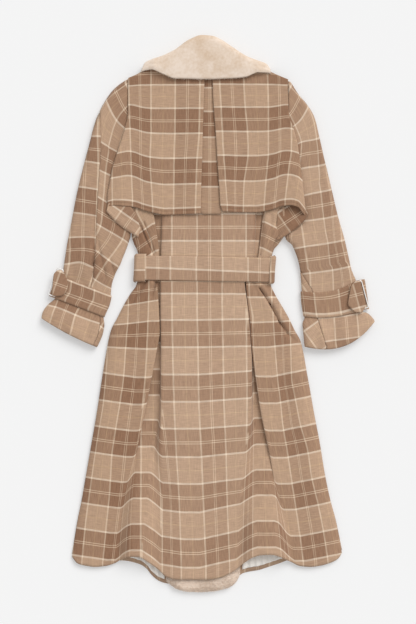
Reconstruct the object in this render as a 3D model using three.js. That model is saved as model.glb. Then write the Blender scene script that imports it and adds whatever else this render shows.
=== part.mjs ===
// An oversized checked wool coat, laid face down on a flat surface, with its back uppermost.
// Millimetres. +X is the wearer's right, +Y runs from hem to collar, +Z is up from the surface.
// Every cloth piece is a thin closed wall made from a grid of points on its middle surface.
import * as THREE from 'three';

// ---- driving dimensions -------------------------------------------------------------------
const WOOL = 2.2;            // coating cloth
const SATIN = 1.0;           // lining
const SEAM = 0.3;            // gap between pieces that are sewn together
const LOOSE = 0.6;           // gap between pieces that only lie on each other
const STRAP = 2.2;           // sleeve straps, belt and loops, pressed double cloth
const PILE = 8.0;            // fur facing, skin and pile together
const COLLAR_PILE = 10.0;    // fur collar, skin and pile together
const BELT_TOP = 132;        // Y of the belt's upper edge
const BELT_BOTTOM = 74;      // Y of the belt's lower edge
const SHOULDER_Y = 558;
const YOKE_Y = 466;          // above this Y the weft lines take on the shoulders' curve
const HEM_BASE = -610;       // Y where the side panels' hem lies
const HEM_RISE_FROM = -50;   // below this Y the weft lines take on the hem's own curve
const STRAP_LIFT = WOOL + 0.4;   // how far cloth rises over a band that passes under it

const COLOURS = {
  wool: 0xb19377,
  wool_dark: 0x9c7a60,
  fur: 0xd9c6b2,
  satin: 0xe9e3da,
  metal: 0xc9c4bc,
};

// ---- small helpers ------------------------------------------------------------------------
const clamp = (v, low, high) => Math.min(high, Math.max(low, v));
const mix = (a, b, t) => a + (b - a) * t;
const smooth = (t) => clamp(t, 0, 1) ** 2 * (3 - 2 * clamp(t, 0, 1));
const ramp = (v, from, to) => smooth((v - from) / (to - from));
const spread = (n) => Array.from({ length: n }, (_, i) => i / (n - 1));
const last = (list) => list[list.length - 1];
const radians = (...degrees) => degrees.map((a) => (a * Math.PI) / 180);

// A smooth function through a table's rows: key column in, value column out, without overshoot.
function through(table, key, value) {
  const rows = [...table].sort((a, b) => a[key] - b[key]);
  const x = rows.map((r) => r[key]);
  const y = rows.map((r) => r[value]);
  const slope = x.slice(1).map((v, i) => (y[i + 1] - y[i]) / (v - x[i]));
  const tangent = x.map((_, i) => {
    const before = slope[Math.max(i - 1, 0)];
    const after = slope[Math.min(i, slope.length - 1)];
    return before * after <= 0 ? 0 : (2 * before * after) / (before + after);
  });
  return (v) => {
    const at = clamp(v, x[0], x[x.length - 1]);
    const i = clamp(x.findIndex((known) => known >= at) - 1, 0, x.length - 2);
    const h = x[i + 1] - x[i];
    const t = (at - x[i]) / h;
    return (2 * t ** 3 - 3 * t ** 2 + 1) * y[i] + (t ** 3 - 2 * t ** 2 + t) * h * tangent[i]
      + (-2 * t ** 3 + 3 * t ** 2) * y[i + 1] + (t ** 3 - t ** 2) * h * tangent[i + 1];
  };
}
function table(names, ...rows) {
  return rows.map((row) => Object.fromEntries(names.map((name, i) => [name, row[i]])));
}

// The height that a list of soft ridges (or troughs, with a negative height) adds at a point.
function relief(ridges, x, y) {
  return ridges.reduce((sum, r) => {
    const dx = r.x1 - r.x0;
    const dy = r.y1 - r.y0;
    const along = clamp(((x - r.x0) * dx + (y - r.y0) * dy) / (dx * dx + dy * dy), 0, 1);
    const away = Math.hypot(x - r.x0 - along * dx, y - r.y0 - along * dy);
    return sum + r.height * Math.exp(-((away / r.width) ** 2)) * (1 - 0.6 * along);
  }, 0);
}

// A closed wall round a grid of middle-surface points. Rows run down the piece and columns across it.
function wall(rows, thickness, ring = false) {
  const across = rows[0].length;
  const down = rows.length;
  const thick = typeof thickness === 'function' ? thickness : () => thickness;
  const at = (i, j) => rows[clamp(i, 0, down - 1)][ring ? (j + across) % across : clamp(j, 0, across - 1)];
  const faces = [[], []];
  for (let i = 0; i < down; i += 1) {
    for (let j = 0; j < across; j += 1) {
      const u = new THREE.Vector3().subVectors(at(i, j + 1), at(i, j - 1));
      const v = new THREE.Vector3().subVectors(at(i + 1, j), at(i - 1, j));
      const normal = new THREE.Vector3().crossVectors(v, u).normalize();
      const half = thick(i / (down - 1), j / (across - 1)) / 2;
      faces[0].push(at(i, j).clone().addScaledVector(normal, half));
      faces[1].push(at(i, j).clone().addScaledVector(normal, -half));
    }
  }
  const points = faces.flat().flatMap((p) => [p.x, p.y, p.z]);
  const index = [];
  const quad = (a, b, c, d) => index.push(a, b, c, a, c, d);
  const outer = (i, j) => i * across + (j % across);
  const inner = (i, j) => down * across + outer(i, j);
  const columns = ring ? across : across - 1;
  for (let i = 0; i < down - 1; i += 1) {
    for (let j = 0; j < columns; j += 1) {
      quad(outer(i, j), outer(i + 1, j), outer(i + 1, j + 1), outer(i, j + 1));
      quad(inner(i, j), inner(i, j + 1), inner(i + 1, j + 1), inner(i + 1, j));
    }
  }
  for (let j = 0; j < columns; j += 1) {
    quad(outer(0, j), outer(0, j + 1), inner(0, j + 1), inner(0, j));
    quad(outer(down - 1, j + 1), outer(down - 1, j), inner(down - 1, j), inner(down - 1, j + 1));
  }
  if (!ring) {
    for (let i = 0; i < down - 1; i += 1) {
      quad(outer(i + 1, 0), outer(i, 0), inner(i, 0), inner(i + 1, 0));
      quad(outer(i, across - 1), outer(i + 1, across - 1), inner(i + 1, across - 1), inner(i, across - 1));
    }
  }
  const geometry = new THREE.BufferGeometry();
  geometry.setAttribute('position', new THREE.Float32BufferAttribute(points, 3));
  geometry.setIndex(index);
  geometry.computeVertexNormals();
  return geometry;
}

const coat = new THREE.Group();
function piece(name, geometry, colour, roughness = 0.9, metalness = 0) {
  const material = new THREE.MeshStandardMaterial({ color: colour, roughness, metalness });
  const mesh = new THREE.Mesh(geometry, material);
  mesh.name = name;
  coat.add(mesh);
}
const point = (x, y, z) => new THREE.Vector3(x, y, z);

// An S-shaped step from one level to the next, in a row across the cloth. With a pull above the
// step's width the cloth doubles back under itself, which is a pleat; with less it is a slope.
const STEP_AT = [0, 0.13, 0.29, 0.5, 0.71, 0.87, 1];
function step({ x, half, pull, from, to }) {
  return STEP_AT.map((t) => {
    const a = x - half;
    const b = x + half;
    return {
      x: a * (1 - t) ** 3 + 3 * (a + pull) * t * (1 - t) ** 2 + 3 * (b - pull) * t * t * (1 - t) + b * t ** 3,
      z: mix(from, to, smooth(t)),
    };
  });
}

// ---- the body's outline -------------------------------------------------------------------
const SIDES = table(['y', 'left', 'right'],
  [576, -192, 193], [558, -191, 192], [485, -187, 190], [389, -182, 187], [293, -177, 184],
  [240, -177, 183], [185, -184, 183], [163, -178, 170], [149, -171, 158], [134, -167, 154],
  [70, -170, 150], [43, -187, 161], [14, -204, 178], [-14, -218, 194], [-43, -233, 208], [-72, -240, 223],
  [-158, -254, 239], [-259, -269, 256], [-331, -281, 269], [-403, -293, 280], [-475, -305, 294],
  [-523, -314, 306], [-610, -327, 322]);
const leftSide = through(SIDES, 'y', 'left');
const rightSide = through(SIDES, 'y', 'right');
const SHOULDER = table(['x', 'front', 'back'],
  [-192, 559, 559], [-173, 567, 567], [-154, 574, 577], [-127, 573, 586], [-105, 571, 581],
  [-60, 568, 570], [0, 566, 568], [60, 568, 570], [101, 571, 579], [125, 573, 583], [150, 572, 574],
  [168, 566, 566], [192, 556, 556]);
const shoulder = through(SHOULDER, 'x', 'back');
const frontShoulder = through(SHOULDER, 'x', 'front');
const shoulderShare = (y) => clamp((y - YOKE_Y) / (SHOULDER_Y - YOKE_Y), 0, 1);

const HEM = table(['x', 'y'],
  [-326, -586], [-312, -602], [-288, -608], [-271, -610], [-247, -608], [-223, -601], [-200, -587],
  [-180, -582], [-163, -583], [-145, -594], [-120, -614], [-98, -633], [-70, -639], [-10, -639],
  [22, -636], [58, -621], [82, -602], [106, -584], [127, -578], [150, -577], [170, -582], [197, -597],
  [221, -608], [245, -610], [269, -607], [293, -600], [312, -590], [321, -576]);
const hemLine = through(HEM, 'x', 'y');
const hemShare = (y) => clamp((HEM_RISE_FROM - y) / (HEM_RISE_FROM - HEM_BASE), 0, 1);

// ---- the fronts, underneath ---------------------------------------------------------------
const FRONT_EDGE = 70;        // how far each front passes the middle
const LAP_RAMP = 26;          // width over which the upper front climbs onto the lower one
const LAP_CLEAR = 4;          // how far the ramps keep from the edge under them
const BELT_RAMP = 36;         // length over which the cloth rises over the belt
function overBand(y) {
  const below = ramp(y, BELT_BOTTOM - LAP_CLEAR - BELT_RAMP, BELT_BOTTOM - LAP_CLEAR);
  const above = ramp(y, BELT_TOP + LAP_CLEAR, BELT_TOP + LAP_CLEAR + BELT_RAMP);
  return STRAP_LIFT * below * (1 - above);
}
const LAP_END = FRONT_EDGE + LAP_CLEAR;
const lapClimb = (x) => ramp(x, -LAP_END - LAP_RAMP, -LAP_END);
const overLap = (x) => (WOOL + SEAM) * (lapClimb(x) - ramp(x, LAP_END, LAP_END + LAP_RAMP));
const frontsTop = (x, y) => WOOL + overBand(y) + overLap(x);

const FRONT_HEM = table(['x', 'y'],
  [-327, -580], [-260, -596], [-206, -596], [-163, -605], [-146, -617], [-134, -632], [-115, -646],
  [-98, -651], [-40, -656], [60, -650], [80, -628], [101, -622], [120, -619], [149, -610], [173, -602],
  [197, -594], [260, -590], [322, -570]);
const frontHem = through(FRONT_HEM, 'x', 'y');
const FRONT_ROWS = [558, 466, 300, 180, 138, 120, 84, 66, 30, -60, -240, -430, -610];

// Both fronts have these columns, close together where the upper one climbs onto the lower one.
const LAP_COLUMNS = [-104, -96, -87, -78, -FRONT_EDGE, 0, FRONT_EDGE];
const OUTER_COLUMNS = { left: -114, right: 110 };    // the first column outside those

function front(start, end, level) {
  return FRONT_ROWS.map((y) => {
    const toRight = end(y) > FRONT_EDGE;
    const shared = LAP_COLUMNS.filter((x) => x > start(y) + 1 && x < end(y) - 1);
    const side = toRight ? [OUTER_COLUMNS.right, end(y)] : [start(y), OUTER_COLUMNS.left];
    const outside = spread(3).map((t) => mix(side[0], side[1], t));
    return [...shared, ...outside, toRight ? start(y) : end(y)].sort((p, q) => p - q).map((x) => {
      const atHem = hemShare(y) * (frontHem(x) - HEM_BASE);
      const atShoulder = shoulderShare(y) * (frontShoulder(x) - SHOULDER_Y);
      return point(x, y + atHem + atShoulder, level(x, y));
    });
  });
}
const frontRight = front(() => -FRONT_EDGE, (y) => rightSide(y) - LOOSE, (x, y) => WOOL / 2 + overBand(y));
const frontLeft = front((y) => leftSide(y) + LOOSE, () => FRONT_EDGE,
  (x, y) => WOOL / 2 + overBand(y) + (WOOL + SEAM) * lapClimb(x));
piece('front_right', wall(frontRight, WOOL), COLOURS.wool_dark);
piece('front_left', wall(frontLeft, WOOL), COLOURS.wool_dark);

// ---- lining and fur facing, which show under the lifted hem --------------------------------
const LINING_TOP = -400;
const LINING_EDGE = 10;       // turned cloth that shows below the lining
function lining(xFrom, xTo) {
  return spread(6).map((v) => spread(8).map((u) => {
    const x = mix(xFrom, xTo, u);
    return point(x, mix(LINING_TOP, frontHem(x) + LINING_EDGE, v), frontsTop(x, 0) + LOOSE + SATIN / 2);
  }));
}
piece('lining_left', wall(lining(-232, -104), SATIN), COLOURS.satin, 0.4);
piece('lining_right', wall(lining(82, 224), SATIN), COLOURS.satin, 0.4);

const FACING = table(['y', 'left', 'right'],
  [470, -56, 46], [134, -92, 68], [70, -92, 68], [-200, -98, 74], [-610, -101, 77]);
const facingSide = { left: through(FACING, 'y', 'left'), right: through(FACING, 'y', 'right') };
const FACING_HEM = table(['x', 'y'],
  [-101, -645], [-90, -653], [-74, -663], [-50, -669], [-20, -670], [20, -667], [50, -659], [66, -648],
  [77, -628]);
const facingHem = through(FACING_HEM, 'x', 'y');
const FACING_PRESSED = 4.2;   // how much thinner the fur is where the belt presses it
const FACING_RIM = 0.45;      // share of the fur's thickness at its side edges
const FACING_SLOPE = 6;       // how fast it reaches its whole thickness
const FACING_COLUMNS = 9;
const FACING_HEM_FROM = -430; // below this Y the rows take on the facing's own hem
const facingPile = (y) => PILE - FACING_PRESSED * ramp(y, BELT_BOTTOM - 90, BELT_BOTTOM - 30);
const FACING_ROWS = [470, 300, 180, 138, 120, 84, 66, 30, -20, -100, -240, -430, -523, -575, -610];
const facing = FACING_ROWS.map((y) => spread(FACING_COLUMNS).map((u) => {
  const x = mix(facingSide.left(y), facingSide.right(y), u);
  const thick = facingPile(y) * mix(FACING_RIM, 1, Math.min(1, FACING_SLOPE * Math.min(u, 1 - u)));
  const atHem = clamp((FACING_HEM_FROM - y) / (FACING_HEM_FROM - HEM_BASE), 0, 1) * (facingHem(x) - HEM_BASE);
  return { thick, at: point(x, y + atHem, frontsTop(x, y) + LOOSE + thick / 2) };
}));
const nearest = (list, share) => list[Math.round(share * (list.length - 1))];
const facingThick = (v, u) => nearest(nearest(facing, v), u).thick;
piece('fur_facing', wall(facing.map((r) => r.map((c) => c.at)), facingThick), COLOURS.fur, 1);

// ---- the back -----------------------------------------------------------------------------
// Two pleats run from the yoke to the hem. High up the side panels fold over the middle panel,
// and towards the hem the pleats open out into two round waves.
const LEFT_FOLD = table(['y', 'x', 'half', 'pull', 'side', 'strip'],
  [320, -140, 12, 6, 12.5, 13.2], [262, -136, 5, 10, 13, 9], [240, -134, 2, 14, 14, 6.5],
  [134, -123, 0, 17, 14.7, 7], [70, -127, 0, 18, 14.7, 7], [0, -124, 0, 22, 15, 5],
  [-43, -122, 0, 22, 15.5, 5], [-91, -129, 0, 22, 16, 5], [-139, -138, 0, 22, 16, 5],
  [-211, -151, 0, 22, 16, 5], [-259, -161, 0, 20, 16, 5.4], [-307, -168, 1, 16, 15.5, 7],
  [-355, -174, 5, 11, 15, 11], [-403, -182, 9, 8, 14.5, 16], [-475, -192, 14, 11, 13, 24],
  [-547, -198, 17, 13, 11, 29], [-610, -201, 18, 14, 9.5, 32]);
const LEFT_STEP = table(['y', 'x', 'half', 'pull'],
  [320, -112, 8, 6], [240, -110, 2.5, 3], [70, -113, 2, 3], [0, -113, 2, 3], [-91, -112, 2, 3],
  [-211, -113, 2.5, 3], [-259, -115, 4, 5], [-331, -121, 9, 8], [-403, -124, 13, 11],
  [-475, -128, 16, 13], [-547, -134, 18, 14], [-610, -138, 20, 15]);
const RIGHT_FOLD = table(['y', 'x', 'half', 'pull', 'side', 'strip'],
  [320, 146, 12, 6, 12.5, 13.2], [262, 140, 5, 10, 13, 9], [240, 136, 2, 14, 14, 6.5],
  [134, 126, 0, 17, 14.7, 7], [70, 97, 0, 18, 14.7, 7], [29, 101, 0, 21, 15, 5], [-19, 107, 0, 22, 15, 5],
  [-67, 110, 0, 22, 15.5, 5], [-115, 115, 0, 22, 16, 5], [-163, 121, 0, 22, 16, 5],
  [-211, 128, 0, 22, 16, 5], [-259, 136, 0, 21, 16, 5], [-307, 145, 0, 18, 16, 6],
  [-355, 153, 1, 15, 15.5, 8.5], [-403, 158, 4, 11, 15, 13], [-451, 165, 7, 9, 14, 18],
  [-499, 173, 11, 10, 12.5, 24], [-547, 181, 15, 12, 11, 29], [-610, 188, 18, 14, 9.5, 32]);
const RIGHT_STEP = table(['y', 'x', 'half', 'pull'],
  [320, 118, 8, 6], [240, 114, 2.5, 3], [134, 109, 2, 3], [70, 87, 2, 3], [29, 92, 2, 3], [-19, 98, 2, 3],
  [-67, 101, 2, 3], [-115, 104, 2, 3], [-211, 105, 3, 4], [-283, 104, 6, 6], [-331, 101, 10, 8],
  [-403, 98, 13, 11], [-475, 95, 16, 13], [-547, 92, 18, 14], [-610, 90, 20, 15]);
const MIDDLE = table(['y', 'z'],
  [558, 13.4], [320, 13.5], [235, 13.7], [185, 15.2], [134, 15.7], [70, 15.7], [0, 18], [-43, 19],
  [-211, 20], [-331, 19.5], [-475, 18], [-610, 17.5]);
function columns(rows) {
  const names = Object.keys(rows[0]).filter((name) => name !== 'y');
  return Object.fromEntries(names.map((name) => [name, through(rows, 'y', name)]));
}
function atY(functions, y) {
  return Object.fromEntries(Object.entries(functions).map(([name, value]) => [name, value(y)]));
}
const leftFold = columns(LEFT_FOLD);
const leftStep = columns(LEFT_STEP);
const rightFold = columns(RIGHT_FOLD);
const rightStep = columns(RIGHT_STEP);
const middle = through(MIDDLE, 'y', 'z');
const ROLL = 24;              // width over which a side panel rolls down to the side seam
const ROLL_AT = [0, 0.08, 0.35, 1];

// Soft ridges and troughs that the belt and the armholes pull into the side panels.
const BACK_RIDGES = table(['x0', 'y0', 'x1', 'y1', 'width', 'height'],
  [-150, 66, -178, 22, 7, -3.4], [-137, 62, -152, 20, 6, -2.4], [132, 62, 186, -45, 8, -3.6],
  [146, 60, 196, -20, 9, 2.2], [134, 236, 124, 140, 7, -3], [-160, 215, -132, 140, 7, -3],
  [-60, -120, -72, -600, 34, 1.2], [46, -100, 52, -600, 34, -1.4], [-215, -130, -262, -560, 20, 1.6],
  [206, -130, 262, -560, 20, 1.6]);

const rolled = (y) => 1 - ramp(y, 190, 240);   // the side edge stays open where a sleeve joins it
const everyOther = (list) => list.filter((_, i) => i % 2 === 0);
function between(a, b, count) {
  return spread(count + 2).slice(1, -1).map((t) => ({ x: mix(a.x, b.x, t), z: mix(a.z, b.z, t) }));
}
const SIDE_GAP = 0.5;          // the back's side edge lies this far over the front's
const SIDE_INSET = 0.4;        // and its rounded edge this far inside it
function backRow(y) {
  const f = atY(leftFold, y);
  const g = atY(rightFold, y);
  const seam = frontsTop(leftSide(y), y) + WOOL / 2 + SIDE_GAP;
  const edge = (WOOL / 2) * rolled(y) + SIDE_INSET;
  const curl = (level, q) => mix(level, mix(seam, level, Math.sqrt(1 - (1 - q) ** 2)), rolled(y));
  const low = step({ x: f.x, half: f.half, pull: f.pull, from: f.side, to: f.strip });
  const rise = step({ ...atY(leftStep, y), from: f.strip, to: middle(y) });
  const fall = step({ ...atY(rightStep, y), from: middle(y), to: g.strip });
  const high = step({ x: g.x, half: g.half, pull: g.pull, from: g.strip, to: g.side });
  const rollLeft = ROLL_AT.map((q) => ({ x: leftSide(y) + edge + q * ROLL, z: curl(f.side, q) }));
  const rollRight = ROLL_AT.map((q) => ({ x: rightSide(y) - edge - q * ROLL, z: curl(g.side, q) })).reverse();
  return [
    ...rollLeft,
    ...between(last(rollLeft), low[0], 2),
    ...low,
    ...between(last(low), rise[0], 1),
    ...everyOther(rise),
    ...between(last(rise), fall[0], 4),
    ...everyOther(fall),
    ...between(last(fall), high[0], 1),
    ...high,
    ...between(last(high), rollRight[0], 2),
    ...rollRight,
  ];
}
const BACK_ROWS = [558, 466, 345, 290, 262, 240, 212, 185, 160, 134, 102, 70, 42, 12, -25, -72, -150, -225,
  -275, -312, -350, -390, -440, -500, -555, -610];
const hemDrop = backRow(HEM_BASE).map((c) => hemLine(c.x) - HEM_BASE);
const back = BACK_ROWS.map((y) => backRow(y).map((c, j) => {
  const toSide = Math.min(c.x - leftSide(y), rightSide(y) - c.x);
  const folds = relief(BACK_RIDGES, c.x, y) * ramp(toSide, 6, ROLL + 4);
  const lie = y + hemShare(y) * hemDrop[j] + shoulderShare(y) * (shoulder(c.x) - SHOULDER_Y);
  return point(c.x, lie, c.z + folds);
}));
piece('back', wall(back, WOOL), COLOURS.wool);

// ---- the storm flap: two panels over a pleat's underlay, free at the hem and the armholes ---
const FLAP_LEFT = table(['y', 'free', 'fold'],
  [558, -191, -7], [509, -191, -10], [466, -192, -11], [442, -197, -12], [398, -209, -13],
  [358, -221, -14], [329, -229, -15], [300, -234, -16], [262, -240, -17], [235, -240, -17]);
const FLAP_RIGHT = table(['y', 'free', 'fold'],
  [558, 190, 10], [509, 191, 12], [466, 194, 15], [442, 202, 17], [396, 214, 20], [341, 221, 23],
  [288, 228, 27], [252, 232, 29], [235, 233, 34]);
const FLAP_HEM = table(['x', 'y'],
  [-240, 250], [-223, 254], [-199, 253], [-175, 250], [-151, 242], [-127, 236], [-103, 232], [-67, 233],
  [-17, 235], [34, 240], [77, 238], [113, 238], [137, 241], [161, 247], [173, 252], [197, 254],
  [214, 250], [223, 240], [233, 226]);
const flapHem = through(FLAP_HEM, 'x', 'y');
const FLAP_BASE = 235;
const FLAP_LEVEL = 18.4;
const FLAP_RIDGES = table(['x0', 'y0', 'x1', 'y1', 'width', 'height'],
  [-120, 225, -118, 400, 34, 2.2], [-205, 250, -200, 420, 30, 4.5], [150, 245, 170, 420, 26, 3],
  [205, 248, 204, 330, 28, 10], [236, 222, 214, 330, 16, 4], [60, 235, 60, 420, 30, 1.4],
  [196, 250, 200, 420, 12, -1.2]);
const FLAP_RISE = 2.6;        // how far the flap's folds stand above its panels
const FLAP_SETTLE = 1.6;      // how far it settles at the shoulders
function flapLevel(x, y) {
  const rise = FLAP_RISE * (1 - ramp(Math.abs(x), 40, 80)) * (1 - 0.5 * ramp(y, 480, 545));
  const settle = FLAP_SETTLE * ramp(y, 440, 540) * ramp(Math.abs(x), 105, 145);
  return FLAP_LEVEL + rise + relief(FLAP_RIDGES, x, y) - settle;
}
const FLAP_ROWS = [558, 500, 450, 400, 350, 305, 268, FLAP_BASE];
function flap(rows, side) {
  const free = through(rows, 'y', 'free');
  const fold = through(rows, 'y', 'fold');
  return FLAP_ROWS.map((y) => spread(11).map((u) => {
    const x = side < 0 ? mix(free(y), fold(y), u) : mix(fold(y), free(y), u);
    const drop = clamp((YOKE_Y - y) / (YOKE_Y - FLAP_BASE), 0, 1) * (flapHem(x) - FLAP_BASE);
    return point(x, y + drop + shoulderShare(y) * (shoulder(x) - SHOULDER_Y - 1), flapLevel(x, y));
  }));
}
piece('storm_flap_left', wall(flap(FLAP_LEFT, -1), WOOL), COLOURS.wool);
piece('storm_flap_right', wall(flap(FLAP_RIGHT, 1), WOOL), COLOURS.wool);
const UNDERLAY_REACH = 24;    // how far the pleat's underlay goes under each panel
const UNDERLAY_LEVEL = 16.9;
const UNDERLAY_DIP = 4;       // how far its hem hangs below the panels' hem
const foldLeft = through(FLAP_LEFT, 'y', 'fold');
const foldRight = through(FLAP_RIGHT, 'y', 'fold');
const underlay = [562, 466, 345, 237].map((y, i, rows) => spread(7).map((u) => {
  const x = mix(foldLeft(y) - UNDERLAY_REACH, foldRight(y) + UNDERLAY_REACH, u);
  const dip = i === rows.length - 1 ? UNDERLAY_DIP * ramp(Math.min(u, 1 - u), 0.18, 0.34) : 0;
  return point(x, y - dip, UNDERLAY_LEVEL);
}));
piece('storm_flap_pleat', wall(underlay, WOOL), COLOURS.wool);

// ---- tubes: a flattened ring between an outer and an inner point ----------------------------
// The ring starts at the outer edge, runs along the underside, round the inner edge and back over the top.
const TURN = radians(-90, -35, 0, 35, 90);
const UNDER_RUN = [0.35, 0.65];
const TOP_RUN = [0.86, 0.72, 0.58, 0.44, 0.3, 0.16];
// It can stand off both of them by a growth all round, and further by a reach at each end.
function ringOf({ ox, oy, ix, iy, bow, low, high, round }, grow = 0, reach = grow, farReach = grow) {
  const length = Math.hypot(ix - ox, iy - oy);
  const ux = (ix - ox) / length;
  const uy = (iy - oy) / length;
  const base = low - grow;
  const top = high + grow;
  const from = -reach;
  const to = length + farReach;
  const place = (d, z) => {
    const t = clamp(d / length, 0, 1);
    const out = bow * 4 * t * (1 - t);
    return point(ox + ux * d + Math.sign(ux || 1) * uy * out, oy + uy * d - Math.sign(ux || 1) * ux * out, z);
  };
  const middleZ = (base + top) / 2;
  const halfZ = (top - base) / 2;
  const turned = (a) => middleZ + halfZ * Math.sin(a);
  return [
    ...UNDER_RUN.map((t) => place(mix(from + round, to - round, t), base)),
    ...TURN.map((a) => place(to - round + round * Math.cos(a), turned(a))),
    ...TOP_RUN.map((t) => place(mix(from + round, to - round, t), top)),
    ...[...TURN].reverse().map((a) => place(from + round - round * Math.cos(a), turned(a))),
  ];
}
const UNDER_COLUMNS = UNDER_RUN.length;
const TOP_START = UNDER_RUN.length + TURN.length;

// Each row: the sleeve's outer and inner edge, the bow of the row between them, and its levels.
const STRAPPED = 9.8;         // level of a sleeve's top under its strap
const SLEEVE_COLUMNS = ['ox', 'oy', 'ix', 'iy', 'bow', 'low', 'high', 'round'];
const SLEEVE_LEFT = table(SLEEVE_COLUMNS,
  [-194, 557, -186, 186, 0, 1.1, 14.2, 9], [-225, 533, -187, 184, 0, 1.1, 14.3, 9],
  [-252, 494, -187, 181, 0, 1.1, 14.4, 10], [-269, 456, -188, 177, 0, 1.1, 14.8, 12],
  [-283, 403, -190, 172, 0, 1.1, 15.2, 14], [-298, 346, -193, 163, 0, 1.1, 15.4, 15],
  [-312, 288, -197, 149, 0, 1.1, 15.6, 15], [-326, 216, -204, 132, 0, 1.1, 16, 15],
  [-337, 158, -210, 116, 0, 1.1, 16.5, 15], [-343, 120, -223, 91, 0, 1.1, 14.5, 14],
  [-346, 98, -232, 62, 0, 1.6, 11.5, 12], [-347, 84, -234, 41, 0, 4, 9.8, 9],
  [-356, 58, -239, 18, 0, 4, 9.8, 9], [-366, 32, -251, -12, 0, 4, 9.8, 9],
  [-383, 17, -249, -30, 2, 1.6, 13, 11], [-395, -1, -252, -50, 3, 1.1, 16, 13],
  [-398, -15, -266, -84, 4, 1.1, 17, 13]);
const SLEEVE_RIGHT = table(SLEEVE_COLUMNS,
  [195, 554, 188, 186, 0, 1.1, 14.2, 9], [211, 528, 188, 184, 0, 1.1, 14.3, 9],
  [236, 497, 188, 181, 0, 1.1, 14.4, 10], [254, 465, 189, 178, 0, 1.1, 14.8, 12],
  [267, 413, 190, 174, 0, 1.1, 15.2, 14], [281, 353, 195, 168, 0, 1.1, 15.4, 15],
  [295, 293, 201, 161, 0, 1.1, 15.6, 15], [310, 230, 208, 146, 0, 1.1, 16, 15],
  [326, 173, 215, 127, 0, 1.1, 16.5, 15], [336, 130, 220, 106, 0, 1.1, 14.5, 14],
  [343, 101, 223, 79, 6, 1.6, 11.5, 12], [353, 76, 225, 51, 13, 4, 9.8, 9],
  [359, 40, 227, 22, 10, 4, 9.8, 9], [365, 4, 232, -12, 9, 4, 9.8, 9],
  [384, -5, 227, -29, 15, 1.6, 13, 11], [398, -21, 229, -52, 22, 1.1, 16, 13],
  [397, -24, 232, -83, 30, 1.1, 17, 13]);
const SLEEVE_RIDGES_LEFT = table(['x0', 'y0', 'x1', 'y1', 'width', 'height'],
  [-276, 60, -258, 300, 8, -5], [-240, 236, -180, 190, 9, -3], [-300, 60, -290, 250, 16, 2.5],
  [-330, -40, -312, 10, 9, 4], [-290, -60, -280, 0, 8, -3], [-370, -10, -350, 20, 8, 3]);
const SLEEVE_RIDGES_RIGHT = table(['x0', 'y0', 'x1', 'y1', 'width', 'height'],
  [240, 60, 230, 200, 10, -2.5], [318, 90, 280, 260, 26, 2.5], [275, -70, 272, 0, 9, 4],
  [330, -70, 318, 0, 9, 3], [300, -75, 296, -10, 8, -3]);
const BACK_SEAM_LEFT = table(['y', 'x'],
  [576, -300], [500, -280], [474, -258], [401, -256], [305, -262], [233, -266], [161, -269], [89, -275],
  [55, -280], [20, -270], [-20, -258], [-50, -262], [-84, -276]);
const BACK_SEAM_RIGHT = table(['y', 'x'],
  [576, 150], [110, 205], [96, 222], [89, 226], [48, 250], [-14, 262], [-84, 283]);
const UNDER_SEAM = 0.5;       // column on the underside where the two sleeve pieces meet again
const SEAM_HALF = 0.3;
const SEAM_CLEAR = 0.15;      // how near to a column of the ring the back seam may come
const HUG = [1, 0.9, 0.7, 0.5, 0.3, 0.15];   // how closely the first rows follow the armhole

// Points spread evenly along a chain of points.
function evenPoints(chain, count) {
  const lengths = chain.slice(1).map((p, i) => p.distanceTo(chain[i]));
  const ends = lengths.map((_, i) => lengths.slice(0, i + 1).reduce((a, b) => a + b, 0));
  return spread(count).map((share) => {
    const at = share * last(ends);
    const i = clamp(ends.findIndex((end) => end >= at), 0, lengths.length - 1);
    return chain[i].clone().lerp(chain[i + 1], clamp(1 - (ends[i] - at) / lengths[i], 0, 1));
  });
}

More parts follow.
